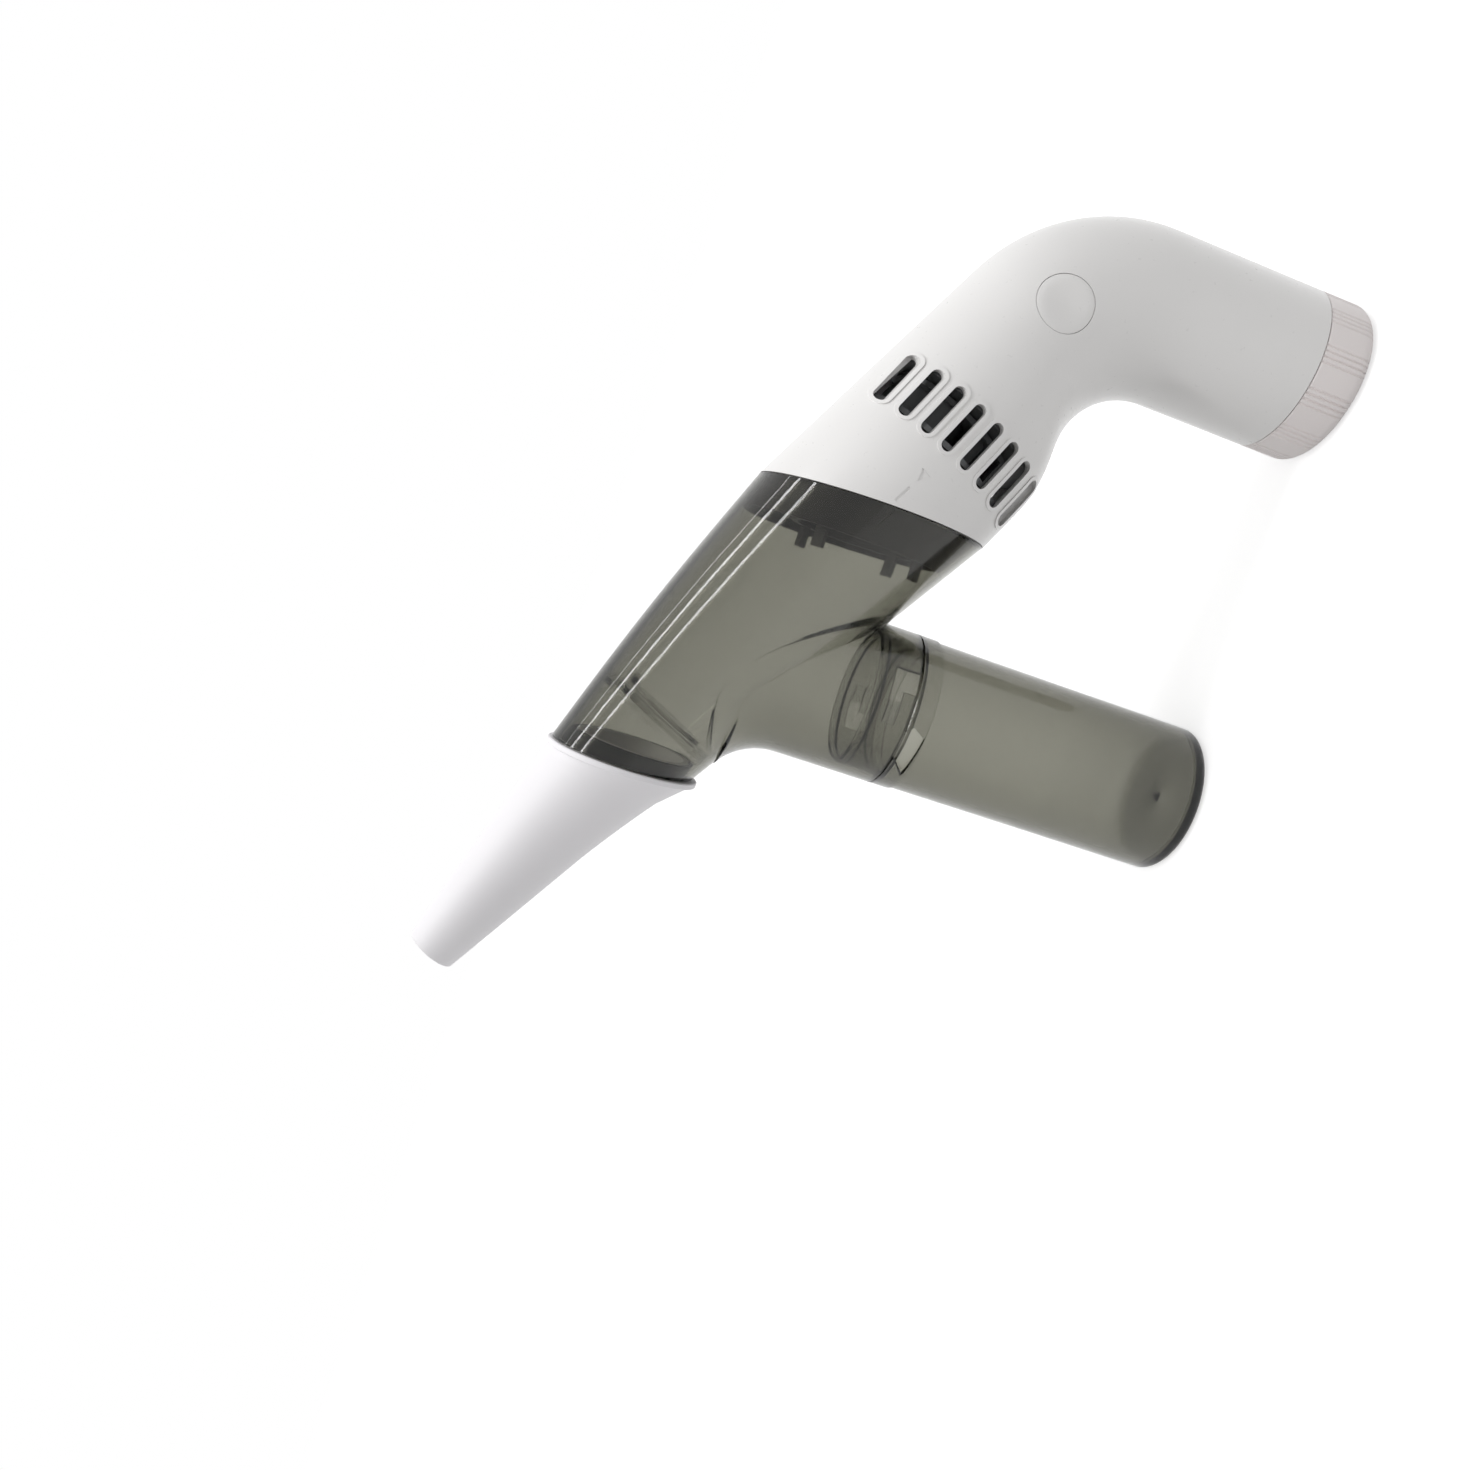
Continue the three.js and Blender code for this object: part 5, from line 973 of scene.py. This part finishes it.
def nozzle():
    face, end = MOUTH_X - GAP, MOUTH_X + NOZZLE_SPIGOT
    foot = face - LIP_THICK
    plug_bore = PLUG_RADIUS - NOZZLE_WALL
    plug = [plug_ring(foot, plug_bore), plug_ring(end, plug_bore), plug_ring(end, PLUG_RADIUS - PLUG_EDGE),
            plug_ring(end - PLUG_EDGE, PLUG_RADIUS), plug_ring(face, PLUG_RADIUS)]
    lip = [lip_ring(face, -LIP_EDGE), lip_ring(face - LIP_EDGE_STEP, 0),
           lip_ring(foot + LIP_EDGE_STEP, 0), lip_ring(foot, -LIP_EDGE)]
    root = ring_at(foot - ROOT_REACH, MOUTH_RADIUS + ROOT_STEP, MOUTH_Z)
    bore_end = ring_at(foot - BORE_REACH, MOUTH_RADIUS + BORE_STEP, MOUTH_Z)
    piece = lofted("white_nozzle", plug + lip + [root] + taper(foot) + [bore_end], closed=True)
    dressed(piece, "nozzle_unit", "nozzle_white", "nozzle")
    inner = SLEEVE_RADIUS - SLEEVE_WALL
    sleeve = [plug_ring(MOUTH_X, SLEEVE_RADIUS), plug_ring(end - SLEEVE_EDGE, SLEEVE_RADIUS),
              plug_ring(end, SLEEVE_RADIUS - SLEEVE_EDGE), plug_ring(end, inner), plug_ring(MOUTH_X, inner)]
    dressed(lofted("mouth_seal", sleeve, closed=True), "nozzle_unit", "rubber", "nozzle_seal")


# Battery cap

CAP_STEPS, CAP_SHARP = 720, 20.0
CAP_GROUPS, CAP_LINES = 12, 4
# Angles of the grip lines in degrees: first group's middle, from line to line, and half a line
GROUP_START, LINE_PITCH, LINE_HALF = 3.0, 3.9, 1.0
# Depth of the lines, which grows along the rounded edge, and its share at the top edge
LINE_DEPTH, LINE_GROWTH, TOP_LINE_SHARE = 0.45, 1.6, 0.6
CAP_EDGE, CAP_MIDDLE, CAP_FLOOR = 3.0, 7.0, 2.4
TOP_EDGE, TOP_EDGE_STEP = 0.3, 0.15
COUNTERBORE_STEP, COUNTERBORE_DEPTH = 1.3, 1.2


def line_depth(angle):
    """How deep the grip lines cut in at an angle in degrees. Groups of them go all the way round."""
    pitch = 360 / CAP_GROUPS
    offset = (angle - GROUP_START + pitch / 2) % pitch - pitch / 2
    away = min(abs(offset - (line - (CAP_LINES - 1) / 2) * LINE_PITCH) for line in range(CAP_LINES))
    return LINE_DEPTH * max(0.0, 1 - away / LINE_HALF)


def cap_ring(radii, height):
    """A ring round the handle's axis, from one radius for each step."""
    points = []
    for step, radius in enumerate(radii):
        x, y = polar(radius, math.tau * step / CAP_STEPS)
        points.append(at(HANDLE_X + x, y, height))
    return points


def cap():
    depths = [line_depth(360 * step / CAP_STEPS) for step in range(CAP_STEPS)]
    top = CAP_HEIGHT - GAP
    profile = []
    for angle in quarter(8):
        profile.append((HANDLE_RADIUS - CAP_EDGE * (1 - math.sin(angle)), CAP_EDGE * (1 - math.cos(angle)),
                        angle / (math.pi / 2)))
    profile += [(HANDLE_RADIUS, CAP_MIDDLE, 1), (HANDLE_RADIUS, top - TOP_EDGE, 1),
                (HANDLE_RADIUS - TOP_EDGE_STEP, top, TOP_LINE_SHARE)]
    rings = []
    for radius, height, share in profile:
        growth = min(1.0, share * LINE_GROWTH)
        rings.append(cap_ring([radius - depth * growth for depth in depths], height))
    bore, counterbore = HANDLE_RADIUS - NECK_STEP + GAP, HANDLE_RADIUS - COUNTERBORE_STEP
    for radius, height in ((counterbore, top), (counterbore, top - COUNTERBORE_DEPTH),
                           (bore, top - COUNTERBORE_DEPTH), (bore, CAP_FLOOR)):
        rings.append(cap_ring([radius] * CAP_STEPS, height))
    dressed(lofted("grip_cap", rings, sharp=CAP_SHARP), "cap_unit", "cap_white", "battery_cap")


# Stage, light and camera. Their lengths are in metres, apart from the camera's place.

FLOOR_COLOR, FLOOR_GLOW, FLOOR_REACH, FLOOR_DROP = (0.62, 0.62, 0.62, 1), 0.62, 6.0, 0.0002
FILL_FRONT, FILL_BACK = 0.42, 0.72
# Through the clear walls the world grows darker between these two heights of a ray, by this share
DARK_START, DARK_END, DARK_SHARE = 0.10, 0.38, 0.85
SUN_TOWARDS, SUN_POWER, SUN_SPREAD = (-0.35, -0.25, 1.0), 0.75, math.radians(50)
# Each strip lamp's two ends, its width and its power
STRIPS = {
    "strip_1": ((-0.25, -0.04, 0.83), (0.40, 0.06, 0.61), 0.035, 0.9),
    "strip_2": ((-0.25, -0.24, 0.78), (0.40, -0.15, 0.60), 0.035, 0.9),
    "strip_3": ((-0.25, 0.14, 0.82), (0.40, 0.20, 0.62), 0.014, 0.2),
}
STRIP_AIM = Vector((0.0, 0.0, 0.12))
SENSOR_WIDTH, CLIP_START = 36.0, 0.01
FOCAL_PIXELS, PHOTO_PIXELS = 1261.85, 1470
CAMERA_PLACE = (12.10, -290.32, 155.91)
CAMERA_RIGHT = Vector((0.3229, -0.1250, -0.9381))
CAMERA_UP = Vector((0.9411, 0.1478, 0.3042))
CAMERA_BACK = Vector((0.1006, -0.9811, 0.1654))


def turned_to(right, up, back):
    """The matrix that turns X, Y and Z to three directions."""
    return Matrix((right, up, back)).transposed().to_4x4()


def seen(tree, ray):
    """A socket that is 1 for camera, glossy and transmission rays, and 0 for the rest."""
    last = ray.outputs["Is Camera Ray"]
    for kind in ("Is Glossy Ray", "Is Transmission Ray"):
        last = combined(tree, "MAXIMUM", last, ray.outputs[kind])
    return last


def stage():
    """A pale floor with an even glow that only the rays that see it meet."""
    made, tree, shader = new_material("pale_floor")
    nodes, links = tree.nodes, tree.links
    set_inputs(shader, Base_Color=FLOOR_COLOR, Roughness=0.9, Specular_IOR_Level=0.1)
    glow = nodes.new("ShaderNodeEmission")
    level = combined(tree, "MULTIPLY", seen(tree, nodes.new("ShaderNodeLightPath")), FLOOR_GLOW)
    links.new(level, glow.inputs["Strength"])
    both = nodes.new("ShaderNodeAddShader")
    links.new(shader.outputs["BSDF"], both.inputs[0])
    links.new(glow.outputs["Emission"], both.inputs[1])
    links.new(both.outputs["Shader"], nodes["Material Output"].inputs["Surface"])
    mesh = bpy.data.meshes.new("floor")
    corners = [(x, y, 0) for x, y in box_outline(2 * FLOOR_REACH, 2 * FLOOR_REACH)]
    mesh.from_pydata(corners, [], [(0, 1, 2, 3)])
    mesh.materials.append(made)
    floor = linked("floor", mesh)
    floor.location.z = -FLOOR_DROP


def world():
    """White for the rays that see it, and a soft fill for the rest that is stronger from behind."""
    sky = bpy.data.worlds.new("studio")
    bpy.context.scene.world = sky
    sky.use_nodes = True
    tree = sky.node_tree
    nodes, links = tree.nodes, tree.links
    place = nodes.new("ShaderNodeTexCoord")
    parts = nodes.new("ShaderNodeSeparateXYZ")
    links.new(place.outputs["Generated"], parts.inputs["Vector"])
    level = set_inputs(nodes.new("ShaderNodeMapRange"), From_Min=-1.0, From_Max=1.0,
                       To_Min=FILL_FRONT, To_Max=FILL_BACK)
    links.new(parts.outputs["Y"], level.inputs["Value"])
    fill = set_inputs(nodes["Background"], Color=(1, 1, 1, 1))
    links.new(level.outputs["Result"], fill.inputs["Strength"])
    high = set_inputs(nodes.new("ShaderNodeMapRange"), From_Min=DARK_START, From_Max=DARK_END,
                      To_Max=DARK_SHARE)
    links.new(parts.outputs["Z"], high.inputs["Value"])
    ray = nodes.new("ShaderNodeLightPath")
    dimmed = combined(tree, "MULTIPLY", high.outputs["Result"], ray.outputs["Is Transmission Ray"])
    white = set_inputs(nodes.new("ShaderNodeBackground"), Color=(1, 1, 1, 1))
    links.new(combined(tree, "SUBTRACT", 1.0, dimmed), white.inputs["Strength"])
    both = nodes.new("ShaderNodeMixShader")
    links.new(seen(tree, ray), both.inputs["Fac"])
    links.new(fill.outputs["Background"], both.inputs[1])
    links.new(white.outputs["Background"], both.inputs[2])
    links.new(both.outputs["Shader"], nodes["World Output"].inputs["Surface"])


def sun():
    data = bpy.data.lights.new("top", "SUN")
    data.energy = SUN_POWER
    data.angle = SUN_SPREAD
    linked("top", data).rotation_euler = Vector(SUN_TOWARDS).to_track_quat("Z", "Y").to_euler()


def strip_light(name, start, finish, width, power):
    """A long narrow lamp between two points that faces the object's middle."""
    start, finish = Vector(start), Vector(finish)
    data = bpy.data.lights.new(name, "AREA")
    data.shape = "RECTANGLE"
    data.size, data.size_y = (finish - start).length, width
    data.energy = power
    spot = (start + finish) / 2
    along = (finish - start).normalized()
    away = spot - STRIP_AIM
    back = (away - along * away.dot(along)).normalized()
    linked(name, data).matrix_world = Matrix.Translation(spot) @ turned_to(along, back.cross(along), back)


def camera():
    data = bpy.data.cameras.new("view")
    data.sensor_width = SENSOR_WIDTH
    data.lens = SENSOR_WIDTH * FOCAL_PIXELS / PHOTO_PIXELS
    data.clip_start = CLIP_START
    eye = linked("view", data)
    turn = turned_to(CAMERA_RIGHT, CAMERA_UP, CAMERA_BACK)
    eye.matrix_world = Matrix.Translation(at(*CAMERA_PLACE)) @ turn
    bpy.context.scene.camera = eye


dress_nodes()
camera()
world()
stage()
sun()
for strip_name, strip in STRIPS.items():
    strip_light(strip_name, *strip)
housing()
button()
chamber()
collar()
coupling_ring()
filter_frame()
seat()
flap()
tube()
nozzle()
cap()

bpy.context.scene.view_settings.view_transform = "Standard"
